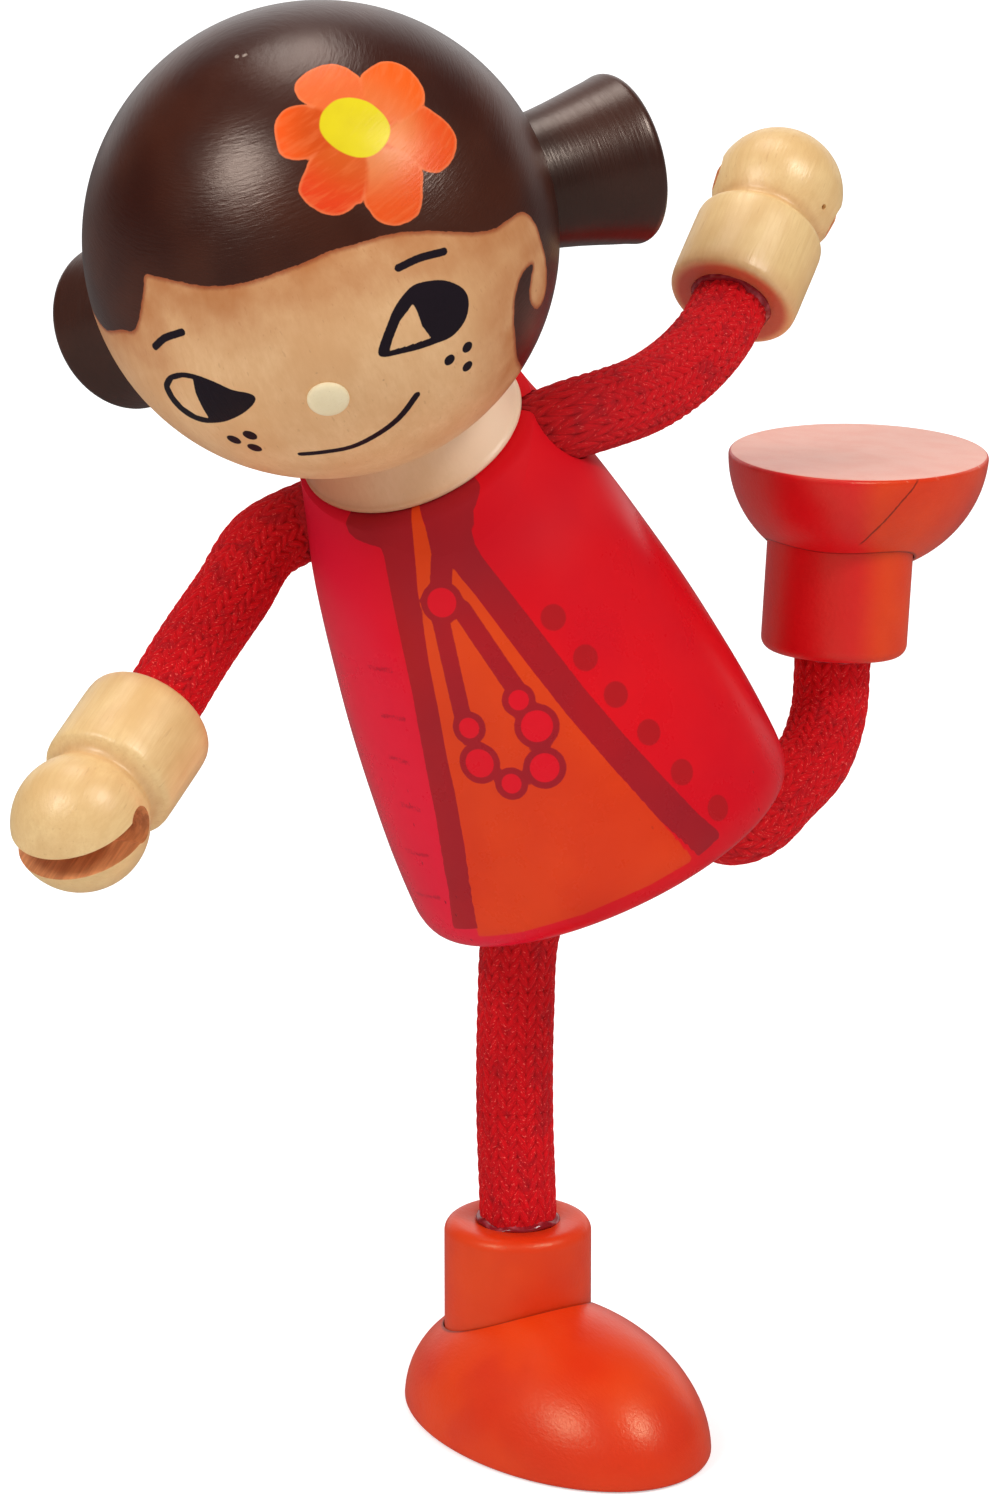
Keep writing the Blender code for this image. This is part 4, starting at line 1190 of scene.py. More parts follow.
BENDS = {
    "right_arm": [(-19.33, 5.04, 63.36), (-23.02, -0.73, 59.57), (-26.37, -6.56, 55.45)],
    "left_arm": [(2.21, 4.04, 72.24), (7.52, 10.20, 73.02), (11.31, 17.07, 75.33)],
    "right_leg": [(-2.32, 6.91, 34.85), (-2.95, 6.23, 25.93), (-2.81, 4.76, 17.06)],
    "left_leg": [(11.71, 9.98, 41.03), (17.30, 14.66, 43.34), (19.55, 17.98, 48.23)],
}


def smooth_route(points, steps):
    """The cord's middle line: a smooth curve through the points, spaced by distance."""
    p = np.array(points)
    p = np.vstack([2 * p[0] - p[1], p, 2 * p[-1] - p[-2]])
    made = []
    for i in range(1, len(p) - 2):
        four = p[i - 1:i + 3]
        knots = np.concatenate([[0.0], np.cumsum(np.linalg.norm(np.diff(four, axis=0),
                                                                axis=1))])
        for k in range(steps):
            t = knots[1] + (knots[2] - knots[1]) * k / steps

            def mix(a, b, ta, tb):
                return a * ((tb - t) / (tb - ta)) + b * ((t - ta) / (tb - ta))

            one = [mix(four[j], four[j + 1], knots[j], knots[j + 1]) for j in range(3)]
            two = [mix(one[j], one[j + 1], knots[j], knots[j + 2]) for j in range(2)]
            made.append(mix(two[0], two[1], knots[1], knots[2]))
    made.append(p[-2])
    return np.array(made)


print("cords:", sorted(ROUTES))

# %% Bending a straight braid along a route
class CordCourse:
    """Carries points from (along, angle, radius) round a straight axis onto a route."""

    def __init__(self, route):
        line = smooth_route(route, 40)
        step = np.linalg.norm(np.diff(line, axis=0), axis=1)
        run = np.concatenate([[0.0], np.cumsum(step)])
        self.length = run[-1]
        self.s = np.linspace(0.0, self.length, 500)
        self.line = np.stack([np.interp(self.s, run, line[:, k]) for k in range(3)], -1)
        ahead = np.gradient(self.line, axis=0)
        self.ahead = ahead / np.linalg.norm(ahead, axis=1)[:, None]
        side = np.cross(self.ahead[0], [0.3, 0.2, 0.9])
        sides = []
        for t in self.ahead:
            side = side - t * (side @ t)
            side = side / np.linalg.norm(side)
            sides.append(side)
        self.side = np.array(sides)
        self.other = np.cross(self.ahead, self.side)

    def at(self, values, table):
        """What a table says at these distances along the cord."""
        return np.stack([np.interp(values, self.s, table[:, k]) for k in range(3)], -1)

    def carry(self, along, angle, radius):
        """From the straight cord to the bent one."""
        along = np.asarray(along, float)
        middle = self.at(along, self.line)
        side = self.at(along, self.side)
        other = self.at(along, self.other)
        c = (radius * np.cos(angle))[..., None]
        s = (radius * np.sin(angle))[..., None]
        return middle + side * c + other * s

    def nearest(self, point):
        """How far along the cord lies nearest to a point."""
        gap = np.linalg.norm(self.line - np.array(point), axis=1)
        return self.s[int(gap.argmin())]


cords = {name: CordCourse(route) for name, route in ROUTES.items()}
print("lengths:", {name: round(float(cord.length), 1) for name, cord in cords.items()})

# %% How the yarns weave
YARNS = 24
BRAID_SLOPE = 0.26
BRAID_TOP = CORD_RADIUS + 0.04
RISE = 0.085
YARN_ROUND = 0.26
YARN_WIDE = 2.0 * math.pi * CORD_RADIUS / YARNS


def woven(s, angle):
    """Height of the woven skin, and how far along and across its yarn each point is."""
    lift = np.tanh(2.0 * np.sin(angle * YARNS / 2.0)) / math.tanh(2.0)
    heights = []
    lines = []
    for way in (1.0, -1.0):
        place = (angle - way * BRAID_SLOPE * s) * YARNS / (2.0 * math.pi)
        off = place - np.round(place)
        arch = np.sqrt(np.clip(1.0 - (off / 0.54) ** 2, 0.0, 1.0))
        heights.append(RISE * way * lift + YARN_ROUND * (arch - 1.0))
        lines.append(place)
    first = heights[0] >= heights[1]
    height = np.where(first, heights[0], heights[1])
    tilt = math.atan(CORD_RADIUS * BRAID_SLOPE)
    along = s / math.cos(tilt) + np.where(first, 0.0, 31.0)
    across = np.where(first, lines[0], lines[1]) * YARN_WIDE * math.cos(tilt)
    return height - RISE, along, across


print("yarns:", 2 * YARNS, "each", round(YARN_WIDE, 2), "mm wide round the cord")

# %% One length of braid
STEP = 0.12
AROUND_CORD = 168
SEAM_BEHIND = 1.9


def braid_piece(cord, start, end):
    """Points of one closed length of cord, and four numbers for each of them."""
    count = max(3, int(round((end - start) / STEP)) + 1)
    s = np.linspace(start, end, count)
    turn = np.linspace(0.0, 2.0 * math.pi, AROUND_CORD, endpoint=False)
    s, turn = np.meshgrid(s, turn, indexing="ij")
    height, along, across = woven(s, turn)
    skin = cord.carry(s, turn + SEAM_BEHIND, BRAID_TOP + height).reshape(-1, 3)
    ends = cord.at([start, end], cord.line)
    deep = (height.ravel() + 2.0 * RISE) / (2.0 * RISE)
    # painted shadow of the body: a value that is strongest where the cord leaves it
    body_shadow = np.exp(-np.clip(s.ravel() - 2.4, 0.0, None) / 4.5)
    values = [np.append(v, [0.0, 0.0]) for v in (along.ravel(), across.ravel(), deep,
                                                 body_shadow)]
    return np.vstack([skin, ends]), values


print("a ring of", AROUND_CORD, "points every", STEP, "mm")

# %% [markdown]
# ## The cord's finish
#
# Dyed cotton yarn is dull and a little hairy. Hair strands could show that, but they
# are heavy and many programs can't read them. Two numbers kept on every point, how far
# along its yarn and how far across, let the material draw fine fibres that follow each
# yarn, also when a limb is bent. The deeper a point lies, the darker it is painted,
# as painted shade between the yarns, and near the body the cord is painted darker
# still, a painted shadow of the body. Here and there a painted glint stands for a
# fibre that catches the light.

# %% Dyed yarn
cord_dye, tree, surface, place = start_material("cord_dye")
along = drawn(tree, "along")
across = drawn(tree, "across")
deep = drawn(tree, "deep")
strand = put(tree, "CombineXYZ", {0: sums(tree, "MULTIPLY", along, 0.9),
                                  1: sums(tree, "MULTIPLY", across, 9.0)}).outputs[0]
fibre = noise(tree, strand, 1.5, 4.0, 0.65)
spun = put(tree, "CombineXYZ", {0: sums(tree, "MULTIPLY", along, 2.6),
                                1: sums(tree, "MULTIPLY", across, 4.0)}).outputs[0]
fleck = noise(tree, spun, 1.7, 2.0, 0.7)
patchy = noise(tree, put(tree, "CombineXYZ", {0: along}).outputs[0], 0.35, 2.0)
top = between(tree, deep, -0.9, 0.7)
dye = blend_colours(tree, between(tree, fibre, 0.3, 0.7), paint(198, 10, 20),
                    paint(234, 14, 26))
dye = blend_colours(tree, sums(tree, "MULTIPLY", between(tree, patchy, 0.4, 0.7), 0.35), dye,
                    paint(190, 18, 28))
cloudy = noise(tree, place, 0.55, 3.0, 0.6)
dye = blend_colours(tree, sums(tree, "MULTIPLY", between(tree, cloudy, 0.50, 0.66), 0.42), dye,
                    paint(150, 22, 32))
# painted shadow of the body: the dye is painted darker near it
shaded = sums(tree, "MULTIPLY", drawn(tree, "body_shadow"), 0.62)
dye = blend_colours(tree, shaded, dye, paint(148, 34, 38))
# painted shade in the crevices between the yarns, stronger near the body
crevice_shade = sums(tree, "MULTIPLY", sums(tree, "SUBTRACT", 1.0, top),
             sums(tree, "MULTIPLY_ADD", drawn(tree, "body_shadow"), 0.5, 0.5))
dye = blend_colours(tree, crevice_shade, dye, paint(86, 6, 12))
print("dye:", len(tree.nodes), "nodes")

# %% Painted glints and fibres
# painted glints on the tops of the yarns, fewer in the body's painted shadow
painted_glint = sums(tree, "MULTIPLY", between(tree, fleck, 0.60, 0.67), top)
painted_glint = sums(tree, "MULTIPLY", painted_glint, sums(tree, "SUBTRACT", 0.95, drawn(tree, "body_shadow")))
painted_glint = sums(tree, "MAXIMUM", painted_glint, 0.0)
dye = blend_colours(tree, sums(tree, "MULTIPLY", painted_glint, 0.8), dye, paint(255, 110, 100))
tree.links.new(dye, surface.inputs["Base Color"])
surface.inputs["Roughness"].default_value = 0.75
surface.inputs["Specular IOR Level"].default_value = 0.12
surface.inputs["Sheen Weight"].default_value = 0.02
surface.inputs["Sheen Roughness"].default_value = 0.4
bump(tree, surface, fibre, 0.05, 0.6)
print("cord finish:", len(tree.nodes), "nodes")

# %% Lengths of a limb, and their bends
HALF_BEND = 2.0


def limb_lengths(limb, cord, hidden):
    """Three lengths of a limb: start, end, the bodies on either side and the bend's place."""
    bends = [cord.nearest(point) for point in BENDS[limb]]
    cuts = [hidden, (bends[0] + bends[1]) / 2, (bends[1] + bends[2]) / 2, cord.length - hidden]
    bodies = ["torso", limb + "_upper", limb + "_lower", limb + "_end"]
    return [(cuts[i], cuts[i + 1], bodies[i:i + 2], bends[i]) for i in range(3)]


def cord_part(name, skin, around, material):
    """One closed length of cord or wire, with round sides and two flat ends."""
    faces = wrapped_faces((len(skin) - 2) // around, around)
    part = place_mesh(name, mesh_of(name, skin, faces), Matrix.Identity(4))
    part.data.materials.append(material)
    sides = len(faces) - 2 * around
    part.data.polygons.foreach_set("use_smooth", np.arange(len(faces)) < sides)
    return part


def bend_part(part, cord, bend, solid):
    """Bake a length into place, and stand for its solid."""
    ends = cord.at([bend - HALF_BEND, bend + HALF_BEND], cord.line) * MM
    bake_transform(part)
    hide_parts(solid)


print("each bend is spread over", 2.0 * HALF_BEND, "mm")

# %% The four limbs in braid
HIDDEN = 2.4
for limb, cord in cords.items():
    for i, (start, end, bodies, bend) in enumerate(limb_lengths(limb, cord, HIDDEN)):
        skin, values = braid_piece(cord, start, end)
        part = cord_part("%s_braid_%d" % (limb, i + 1), skin, AROUND_CORD, cord_dye)
        for label, value in zip(("along", "across", "deep", "body_shadow"), values):
            store(part, label, value)
        bend_part(part, cord, bend, limb + "_cord")
    print(limb, "braid:", round(float(cord.length - 2.0 * HIDDEN), 1), "mm of it shows")

# %% [markdown]
# ## Hands
#
# Each hand is turned in one piece: a sleeve that takes the cord, a groove for the wrist
# and a ball. A saw cut from the ball's tip ends in a drilled cross hole, so that the
# hand can clip onto things. The cut could be built into the mesh by hand, but its edge
# on the ball is hard to place. So the turning is spun from its outline first, and then
# the cut is taken out with an exact Boolean, as a saw would. The faces that it leaves
# are marked, because they show raw wood.

# %% Hand wood
hand_wood, tree, surface, place = start_material("hand_wood")
wood, streaks = wood_colour(tree, place, paint(248, 210, 148), paint(228, 180, 116),
                            paint(190, 128, 76), 0.8, 12.0, 0.2)
wound = between(tree, drawn(tree, "sawn"), 0.25, 0.0)
raw = blend_colours(tree, between(tree, streaks, 0.35, 0.65), paint(236, 158, 98),
                    paint(206, 128, 74))
wood = blend_colours(tree, wound, wood, raw)
parts = put(tree, "SeparateXYZ", {0: place}).outputs
inner = put(tree, "VectorMath", {0: put(tree, "CombineXYZ", {0: parts["X"], 1: parts["Y"]})
                                 .outputs[0]}, operation="LENGTH").outputs["Value"]
# the mouth's end face: partly glue stain, partly a painted red reflection of the cord in shade
stain_and_red_reflection = sums(tree, "MULTIPLY", between(tree, parts["Z"], 0.22, 0.02),
              between(tree, inner, 4.35, 3.7))
wood = blend_colours(tree, sums(tree, "MULTIPLY", stain_and_red_reflection, 0.85), wood, paint(206, 56, 42))
# painted shade on the sleeve towards its mouth
foot_shade = sums(tree, "MULTIPLY", between(tree, parts["Z"], 1.6, 0.2), 0.25)
wood = blend_colours(tree, foot_shade, wood, paint(206, 120, 78))
# painted shade in the wrist groove
groove_shade = sums(tree, "MULTIPLY", between(tree, inner, 4.35, 3.75),
             between(tree, sums(tree, "ABSOLUTE", sums(tree, "SUBTRACT", parts["Z"], 7.3)),
                     1.0, 0.2))
wood = blend_colours(tree, sums(tree, "MULTIPLY", groove_shade, 0.35), wood, paint(206, 140, 84))
tree.links.new(wood, surface.inputs["Base Color"])
dull = sums(tree, "MULTIPLY_ADD", wound, 0.26, 0.37)
tree.links.new(sums(tree, "MULTIPLY_ADD", streaks, 0.14, sums(tree, "SUBTRACT", dull, 0.07)),
               surface.inputs["Roughness"])
surface.inputs["Specular IOR Level"].default_value = 1.05
surface.inputs["Specular Tint"].default_value = (1.0, 0.93, 0.82, 1.0)
bump(tree, surface, streaks, 0.07, 0.6)
print("hand wood ready")

# %% Hand outline
HANDS = {
    "right": [Vector((-27.465, -8.538, 54.127)), Vector((-0.416, -0.785, -0.460)),
              Vector((-0.247, -0.376, 0.919))],
    "left": [Vector((12.201, 18.986, 76.626)), Vector((0.340, 0.713, 0.613)),
             Vector((0.201, -0.692, 0.694))],
}
SLEEVE = 4.62
BALL = 4.65
BALL_AT = 10.25
hand_outline = [(0.0, 6.2), (HOLE, 6.2), (HOLE, 0.10), (HOLE + 0.08, 0.0), (3.60, -0.02),
                (4.10, -0.01), (4.28, 0.03), (4.42, 0.12), (4.50, 0.24), (4.56, 0.42),
                (4.60, 0.75), (SLEEVE, 1.3), (SLEEVE, 2.2), (SLEEVE, 3.2), (SLEEVE, 4.2),
                (SLEEVE, 5.2), (4.61, 6.0), (4.56, 6.3), (4.46, 6.48), (4.30, 6.62),
                (4.12, 6.74), (3.94, 6.88), (3.80, 7.04), (3.72, 7.22), (3.71, 7.38)]
start_deg = math.degrees(math.asin((7.50 - BALL_AT) / BALL))
hand_outline += rounded((0.0, BALL_AT), BALL, start_deg + 2.0, 88.0, 34)
hand_outline += [(0.0, BALL_AT + BALL)]
print("hand:", round(BALL_AT + BALL, 2), "mm long")

# %% Saw cut and cross hole
SLOT_HALF = 0.9
SLOT_ROOT = 9.75
SLOT_HOLE = 1.25
SLOT_TOP = BALL_AT + 7.0
BAR_HALF = 6.5


def slot_cutter(matrix):
    """The saw cut and its cross hole as one bar, pushed through the ball."""
    corner = math.degrees(math.asin(math.sqrt(SLOT_HOLE ** 2 - SLOT_HALF ** 2) / SLOT_HOLE))
    outline = [(SLOT_HALF, SLOT_TOP)]
    outline += rounded((0.0, SLOT_ROOT), SLOT_HOLE, corner, -180.0 - corner, 20)
    outline += [(-SLOT_HALF, SLOT_TOP)]
    mesh = bpy.data.meshes.new("slot")
    shape = bmesh.new()
    ring = [shape.verts.new((x * MM, -BAR_HALF * MM, z * MM)) for x, z in outline]
    pushed = bmesh.ops.extrude_face_region(shape, geom=[shape.faces.new(ring)])
    moved = [v for v in pushed["geom"] if isinstance(v, bmesh.types.BMVert)]
    bmesh.ops.translate(shape, verts=moved, vec=(0.0, 2.0 * BAR_HALF * MM, 0.0))
    bmesh.ops.recalc_face_normals(shape, faces=shape.faces)
    shape.to_mesh(mesh)
    shape.free()
    return place_mesh("slot", mesh, matrix)


print("saw cut", 2.0 * SLOT_HALF, "mm wide, cross hole", 2.0 * SLOT_HOLE, "mm")

# %% The pinhole and the marks of the saw
PINHOLE_AT = Vector((2.78, 3.38, 8.69))


def pin_cutter(matrix):
    """A pin that pricks the ball square to its surface."""
    middle = Vector((0.0, 0.0, BALL_AT))
    spot = (PINHOLE_AT - middle).normalized()
    pin = frame_at(middle + spot * BALL, spot, Vector((0.0, 0.0, 1.0)))
    line = [(0.0, -0.5), (0.2, -0.4), (0.24, 1.0), (0.0, 1.0)]
    return place_mesh("pin", lathe_mesh("pin", line, 20), matrix @ pin)


def mark_sawn(hand):
    """Store 0 on the faces that saw and drill have left, and 1 on the turned ones."""
    spots = points_of(hand)
    from_root = np.hypot(spots[:, 0], spots[:, 2] - SLOT_ROOT)
    on_cut = np.abs(np.abs(spots[:, 0]) - SLOT_HALF) < 0.01
    on_cut |= np.abs(from_root - SLOT_HOLE) < 0.02
    on_cut &= spots[:, 2] > SLOT_ROOT - SLOT_HOLE - 0.1
    sawn = hand.data.attributes.new("sawn", "FLOAT", "CORNER")
    for face in hand.data.polygons:
        inside = all(on_cut[v] for v in face.vertices)
        for corner in face.loop_indices:
            sawn.data[corner].value = 0.0 if inside else 1.0


print("pinhole at", [round(v, 2) for v in PINHOLE_AT], "of the left hand")

# %% The two hands
for side, (mouth, out, flat) in HANDS.items():
    matrix = frame_at(mouth, out, flat)
    hand = place_mesh(side + "_carved_hand", lathe_mesh("hand", hand_outline, 96), matrix)
    cutters = [slot_cutter(matrix)]
    if side == "left":
        cutters.append(pin_cutter(matrix))
    drill(hand, cutters)
    mark_sawn(hand)
    dress(hand, hand_wood, side + "_arm_end", [side + "_hand"])
    shade(hand, 35.0)
print("hands:", list(HANDS))

# %% [markdown]
# ## Shoes and ankle cuffs
#
# A shoe is half an egg: a turned or sanded block with a flat sole and a barely broken
# edge. A flat-bottomed hole in the heel takes the ankle cuff, a turned ring that holds
# the cord. A ball that is stretched and cut in half would have a knife edge at the
# sole, so the egg is drawn row by row, with a small round there. The hole is cut with a
# Boolean, so the seam around the cuff is a real gap, and a dark line in the paint
# beside it lets it read from afar.

# %% Orange paint of the dome
def dome_colour(tree, place, cloud, raised):
    """Orange, more red in patches. The raised shoe (raised = 1) is red but for one side: partly
    red paint and partly painted shade, with more painted shade on its far side.
    """
    across = put(tree, "SeparateXYZ", {0: place}).outputs["Y"]
    tone = between(tree, cloud, 0.3, 0.72)
    coat = blend_colours(tree, tone, paint(240, 66, 12), paint(231, 52, 14))
    rubbed = between(tree, noise(tree, place, 0.17, 2.0, 0.45), 0.44, 0.68)
    coat = blend_colours(tree, sums(tree, "MULTIPLY", rubbed, 0.38), coat, paint(218, 36, 14))
    # on the raised shoe, partly red paint and partly painted shade over all but its lit side
    redder_shade = sums(tree, "MULTIPLY", between(tree, across, 4.3, 2.0), raised)
    coat = blend_colours(tree, redder_shade, coat, paint(230, 16, 28))
    # painted shade on the raised shoe's far side
    far_side_shade = sums(tree, "MULTIPLY", between(tree, across, -1.8, -4.5), 0.6 * raised)
    return blend_colours(tree, far_side_shade, coat, paint(214, 46, 50))


print("dome paint is ready")

# %% Sole and rim
def sole_colour(tree, place, sole_tone_and_sheen):
    """The thin paint on the sole, partly a painted pale reflection, worn lighter in patches."""
    worn = between(tree, noise(tree, place, 0.35, 4.0, 0.6), 0.42, 0.62)
    return blend_colours(tree, sums(tree, "MULTIPLY", worn, 0.22), sole_tone_and_sheen,
                         paint(238, 132, 110))


def rim_chips(tree, place):
    """1 where the paint has chipped off the sole's edge."""
    rim = between(tree, drawn(tree, "rim"), 0.34, 0.06)
    chip = between(tree, noise(tree, place, 1.1, 3.0, 0.6), 0.60, 0.68)
    return sums(tree, "MULTIPLY", rim, chip)


print("sole and rim are ready")

# %% The seam round the cuff, and a crack
HEEL = 5.15
CUFF = 5.2
CRACK_MIDDLE = (-11.58, 4.54, 2.53)
CRACK_ALONG = (-0.110, -0.609, 0.785)
CRACK_ACROSS = (-0.739, -0.477, -0.474)
CRACK_BOW = 0.058


def cuff_seam(tree, place):
    """1 in a thin line on the dome, just outside the cuff."""
    beside = put(tree, "VectorMath", {0: place, 1: (HEEL, 0.0, 0.0)}).outputs[0]
    beside = put(tree, "VectorMath", {0: beside, 1: (1.0, 1.0, 0.0)}, operation="MULTIPLY")
    beside = put(tree, "VectorMath", {0: beside.outputs[0]}, operation="LENGTH")
    seam = between(tree, beside.outputs["Value"], CUFF + 0.30, CUFF + 0.14)
    return sums(tree, "MULTIPLY", seam, drawn(tree, "dome"))


def crack_line(tree, place, sole):
    """1 in a bowed hairline crack at the heel's end of the shoe, but not on its sole."""
    from_middle = put(tree, "VectorMath", {0: place, 1: CRACK_MIDDLE},
                      operation="SUBTRACT").outputs[0]
    run = put(tree, "VectorMath", {0: from_middle, 1: CRACK_ALONG},
              operation="DOT_PRODUCT").outputs["Value"]
    off = put(tree, "VectorMath", {0: from_middle, 1: CRACK_ACROSS},
              operation="DOT_PRODUCT").outputs["Value"]
    bow = sums(tree, "MULTIPLY_ADD", sums(tree, "MULTIPLY", run, run), CRACK_BOW, off)
    bow = sums(tree, "ADD", bow, waver(tree, place, 1.6, 0.22))
    crack = between(tree, sums(tree, "ABSOLUTE", bow), 0.11, 0.03)
    crack = sums(tree, "MULTIPLY", crack, sums(tree, "SUBTRACT", 1.0, sole))
    crack = sums(tree, "MULTIPLY", crack, between(tree, sums(tree, "ABSOLUTE", run), 3.3, 2.7))
    at_heel = between(tree, put(tree, "SeparateXYZ", {0: place}).outputs["X"], -8.0, -9.5)
    return sums(tree, "MULTIPLY", crack, at_heel)


print("seam round a cuff of", CUFF, "mm radius")

# %% Shoe paints
def shoe_finish(name, sole_tone_and_sheen, raised=0.0):
    """The paint of one shoe and its cuff; raised is 1 for the raised shoe."""
    made, tree, surface, place = start_material(name)
    skin = use_group(tree, skin_group, {"Place": place, "Waves": 0.32})
    coat = dome_colour(tree, place, skin["Cloud"], raised)
    sole = between(tree, drawn(tree, "sole"), 0.5, 0.9)
    coat = blend_colours(tree, sole, coat, sole_colour(tree, place, sole_tone_and_sheen))
    coat = blend_colours(tree, rim_chips(tree, place), coat, paint(244, 150, 120))
    seam = sums(tree, "MULTIPLY", cuff_seam(tree, place), 0.7)
    coat = blend_colours(tree, seam, coat, paint(120, 22, 14))
    if raised > 0.0:
        crack = sums(tree, "MULTIPLY", crack_line(tree, place, sole), 0.8)
        coat = blend_colours(tree, crack, coat, paint(110, 16, 16))
    tree.links.new(coat, surface.inputs["Base Color"])
    tree.links.new(sums(tree, "MULTIPLY_ADD", skin["Height"], 0.12, 0.27),
                   surface.inputs["Roughness"])
    surface.inputs["Specular IOR Level"].default_value = 0.60
    surface.inputs["Specular Tint"].default_value = (0.9, 1.0, 0.62, 1.0)
    grain = put(tree, "Mapping", {"Vector": place, "Scale": (0.6, 2.0, 2.0)}).outputs[0]
    orange_peel = noise(tree, grain, 2.2, 3.0, 0.6)
    relief = sums(tree, "MULTIPLY_ADD", orange_peel, 0.5, skin["Height"])
    bump(tree, surface, relief, 0.07, 0.7)
    print(name, len(tree.nodes), "nodes")
    return made


# the soles' pale salmon is partly their paint and partly a painted pale reflection
SHOE_PAINTS = {"right": shoe_finish("standing_shoe_paint", paint(240, 150, 128)),
               "left": shoe_finish("raised_shoe_paint", paint(248, 172, 152), 1.0)}

# %% Half an egg
SHOE_LONG = 14.2
SHOE_WIDE = 9.1
SHOE_HIGH = 8.6
EDGE_ROUND = 0.34


def egg_mesh(name, around=144, up=44):
    """Half an egg on its flat sole, in one closed skin."""
    mean = (SHOE_LONG + SHOE_WIDE) / 2.0
    soft = EDGE_ROUND
    line = [(f * (mean - soft) / mean, 0.0) for f in (0.12, 0.3, 0.5, 0.7, 0.85, 0.94, 1.0)]
    for deg in (18, 36, 54, 72):
        a = math.radians(deg)
        line.append(((mean - soft + soft * math.sin(a)) / mean,
                     (soft - soft * math.cos(a)) / SHOE_HIGH))
    first = math.asin(soft / SHOE_HIGH)
    for k in range(up):
        a = first + (math.pi / 2.0 - first) * k / up
        line.append((math.cos(a) / math.cos(first) * 0.9995, math.sin(a)))
    points = [(0.0, 0.0, 0.0)]
    for r, z in line:
        for i in range(around):
            t = 2.0 * math.pi * i / around
            points.append((r * math.cos(t) * SHOE_LONG, r * math.sin(t) * SHOE_WIDE,
                           z * SHOE_HIGH))
    points.append((0.0, 0.0, SHOE_HIGH))
    faces = []
    last = len(points) - 1
    for i in range(around):
        k = (i + 1) % around
        faces.append((0, 1 + k, 1 + i))
        faces.append((last, 1 + (len(line) - 1) * around + i,
                      1 + (len(line) - 1) * around + k))
        for j in range(len(line) - 1):
            a = 1 + j * around
            faces.append((a + i, a + k, a + around + k, a + around + i))
    return mesh_of(name, points, faces)


print("egg:", 2.0 * SHOE_LONG, "by", 2.0 * SHOE_WIDE, "by", SHOE_HIGH, "mm")

# %% The two shoes and their cuffs
SHOES = {
    "right": [Vector((0.0, 0.0, 0.0)), Vector((0.0, 0.0, 1.0)), Vector((0.530, -0.848, 0.0))],
    "left": [Vector((21.705, 24.766, 64.449)), -Vector((0.056, 0.090, 0.994)),
             Vector((0.239, 0.966, -0.101))],
}
WELL_FLOOR = 4.05
WELL_GAP = 0.09
CUFF_TOP = 13.75
cuff_outline = [(0.0, 8.1), (HOLE, 8.1), (HOLE, CUFF_TOP - 0.25), (HOLE + 0.07, CUFF_TOP - 0.11),
                (HOLE + 0.22, CUFF_TOP - 0.02)]
cuff_outline += rounded((CUFF - 0.9, CUFF_TOP - 0.9), 0.9, 90.0, 0.0, 12)
cuff_outline += [(CUFF, 11.0), (CUFF, 8.5), (CUFF, 6.3), (CUFF, 4.3), (CUFF - 0.1, 4.2),
                 (0.0, 4.2)]
for side, (middle, up, toe) in SHOES.items():
    matrix = frame_at(middle, up, toe)
    shoe = place_mesh(side + "_egg_shoe", egg_mesh("shoe"), matrix)
    heel = matrix @ Matrix.Translation((-HEEL * MM, 0.0, 0.0))
    well = [(0.0, WELL_FLOOR), (CUFF + WELL_GAP, WELL_FLOOR), (CUFF + WELL_GAP, 14.0),
            (0.0, 14.0)]
    drill(shoe, [place_mesh("well", lathe_mesh("well", well, 96), heel)])
    spots = points_of(shoe)
    edge = np.hypot(spots[:, 0] / SHOE_LONG, spots[:, 1] / SHOE_WIDE)
    store(shoe, "sole", np.where((spots[:, 2] < 0.02) & (edge < 0.985), 1.0, 0.0))
    store(shoe, "rim", np.abs(spots[:, 2]) + np.clip((1.0 - edge) * 11.0 - 0.35, 0.0, 5.0))
    store(shoe, "dome", np.clip(spots[:, 2] - 2.0, 0.0, 1.0))
    dress(shoe, SHOE_PAINTS[side], side + "_leg_end", [side + "_shoe"])
    shade(shoe, 35.0)
    cuff = place_mesh(side + "_cuff", lathe_mesh("cuff", cuff_outline, 96), heel)
    store(cuff, "sole", np.zeros(len(cuff.data.vertices)))
    store(cuff, "dome", np.zeros(len(cuff.data.vertices)))
    store(cuff, "rim", np.full(len(cuff.data.vertices), 9.0))
    dress(cuff, SHOE_PAINTS[side], side + "_leg_end", [side + "_ankle_cuff"])
    shade(cuff, 40.0)
print("shoes:", list(SHOES))

# %% [markdown]
# ## Glue in the mouths
#
# A little clear glue stands round each cord where it enters its hand or cuff. It has
# sucked up some dye. An even ring would look like a rubber seal, so the bead is turned
# like everything else, and then two waves round it make its surface uneven.

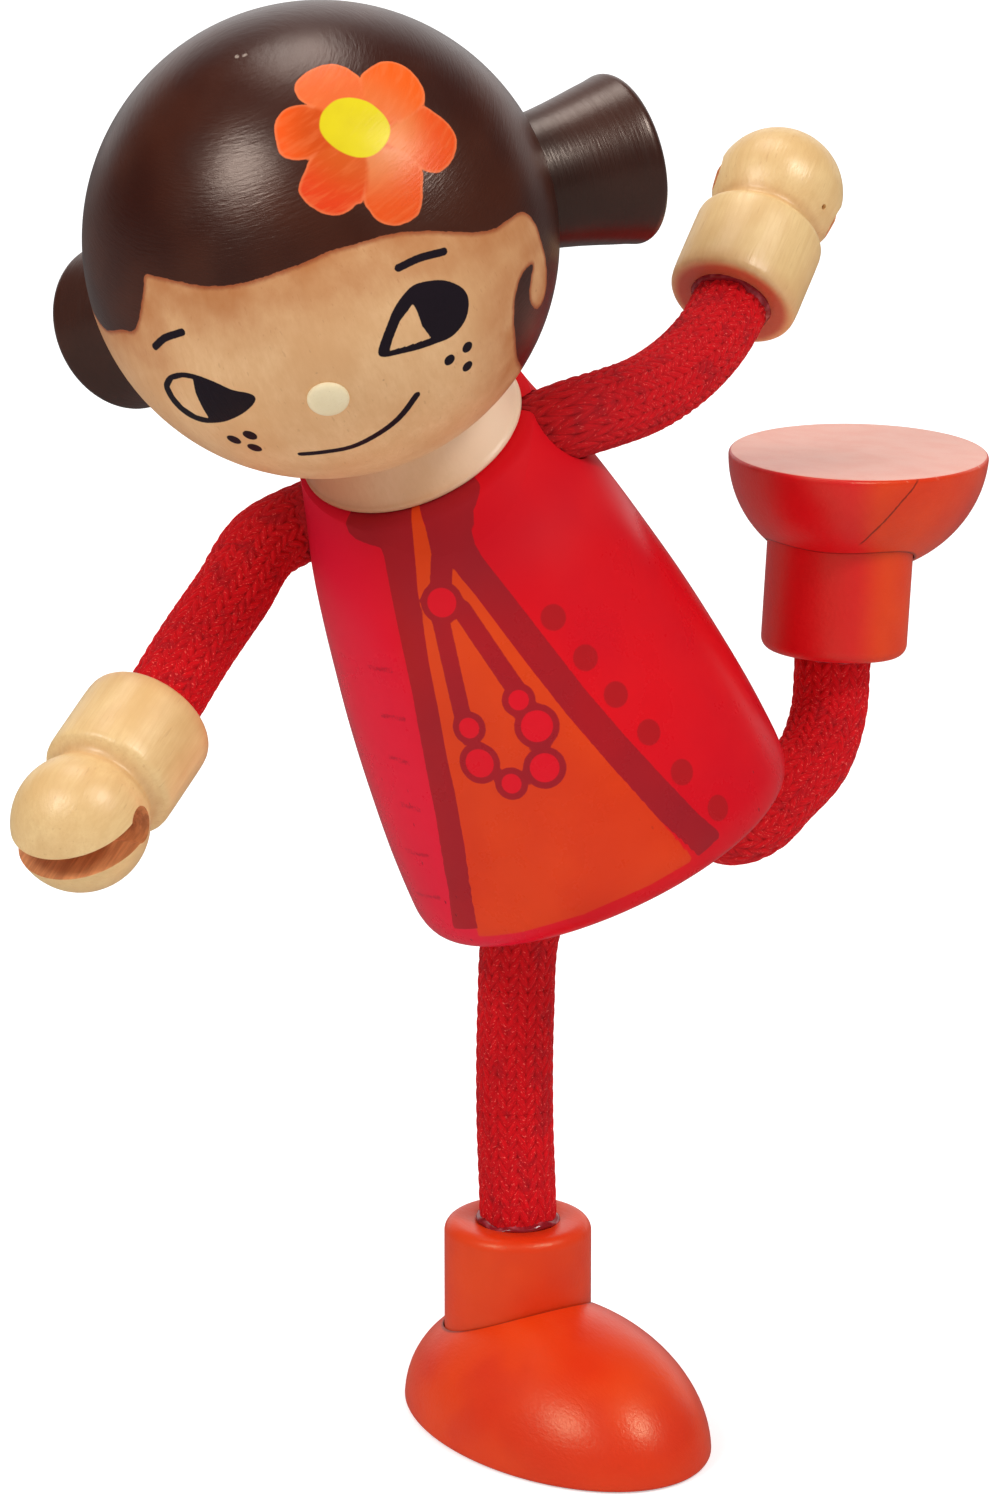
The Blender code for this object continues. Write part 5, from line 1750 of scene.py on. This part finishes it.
# %% Glue beads
glue_skin, tree, surface, place = start_material("glue")
stained = between(tree, noise(tree, place, 0.8, 2.0), 0.48, 0.66)
tree.links.new(blend_colours(tree, stained, paint(142, 24, 34), paint(186, 84, 92)),
               surface.inputs["Base Color"])
surface.inputs["Roughness"].default_value = 0.15
GLUE = [(2.30, -0.50), (2.80, -0.50), (2.82, -0.20), (2.92, -0.06), (2.98, 0.05), (2.94, 0.16),
        (2.84, 0.26), (2.72, 0.34), (2.58, 0.38), (2.30, 0.36)]
mouths = {}
for side, (mouth, out, flat) in HANDS.items():
    mouths[side + "_arm_end"] = frame_at(mouth, -out, flat)
for side, (middle, up, toe) in SHOES.items():
    mouths[side + "_leg_end"] = (frame_at(middle, up, toe)
                                 @ Matrix.Translation((-HEEL * MM, 0.0, CUFF_TOP * MM)))
for number, (body, matrix) in enumerate(mouths.items()):
    bead = place_mesh(body + "_glue", lathe_mesh("glue", GLUE, 96), matrix)
    spots = points_of(bead)
    turn = np.arctan2(spots[:, 1], spots[:, 0]) + 1.3 * number
    lump = 0.10 * np.sin(3.0 * turn) + 0.07 * np.sin(7.0 * turn + 1.0) - 0.06
    spots[:, 2] += lump * np.clip(spots[:, 2] + 0.2, 0.0, 0.4) / 0.4
    bead.data.vertices.foreach_set("co", (spots * MM).ravel())
    bead.data.update()
    dress(bead, glue_skin, body)
    shade(bead, 60.0)
print("glue beads:", len(mouths))

# %% [markdown]
# ## Hidden dowels and wires
#
# The dowels are the measured model's own. They stay inside, but an exploded view shows
# them, so they get a raw beech finish. The soft iron wire in each cord could stay a
# stiff rod too, but then it would poke out of a bent limb. So it is drawn along the
# cord's middle line and bends with the braid round it.

# %% Dowels
dowel_wood, tree, surface, place = start_material("dowel_wood")
wood, streaks = wood_colour(tree, place, paint(226, 188, 142), paint(206, 160, 112),
                            paint(150, 100, 60), 1.4, 6.0, 0.4)
tree.links.new(wood, surface.inputs["Base Color"])
surface.inputs["Roughness"].default_value = 0.6
bump(tree, surface, streaks, 0.04, 0.6)
for name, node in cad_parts.items():
    if name.endswith("dowel"):
        for material_slot in node.material_slots:
            material_slot.material = dowel_wood
        print("finished", name)

# %% Wires
wire_metal, tree, surface, place = start_material("wire_metal")
spots = noise(tree, place, 1.2, 3.0)
zinc = blend_colours(tree, spots, paint(150, 152, 154), paint(186, 188, 190))
tree.links.new(zinc, surface.inputs["Base Color"])
surface.inputs["Metallic"].default_value = 1.0
tree.links.new(sums(tree, "MULTIPLY_ADD", spots, 0.25, 0.28), surface.inputs["Roughness"])
WIRE_RADIUS = 0.5
WIRE_SHORTER = 1.0
WIRE_ROWS = 48
AROUND_WIRE = 24

for limb, cord in cords.items():
    for i, (start, end, bodies, bend) in enumerate(limb_lengths(limb, cord, WIRE_SHORTER)):
        s, turn = np.meshgrid(np.linspace(start, end, WIRE_ROWS),
                              np.linspace(0.0, 2.0 * math.pi, AROUND_WIRE, endpoint=False),
                              indexing="ij")
        skin = cord.carry(s, turn, WIRE_RADIUS).reshape(-1, 3)
        skin = np.vstack([skin, cord.at([start, end], cord.line)])
        part = cord_part("%s_wire_%d" % (limb, i + 1), skin, AROUND_WIRE, wire_metal)
        bend_part(part, cord, bend, limb + "_wire")
    print(limb, "wire:", round(float(cord.length - 2.0 * WIRE_SHORTER), 1), "mm")
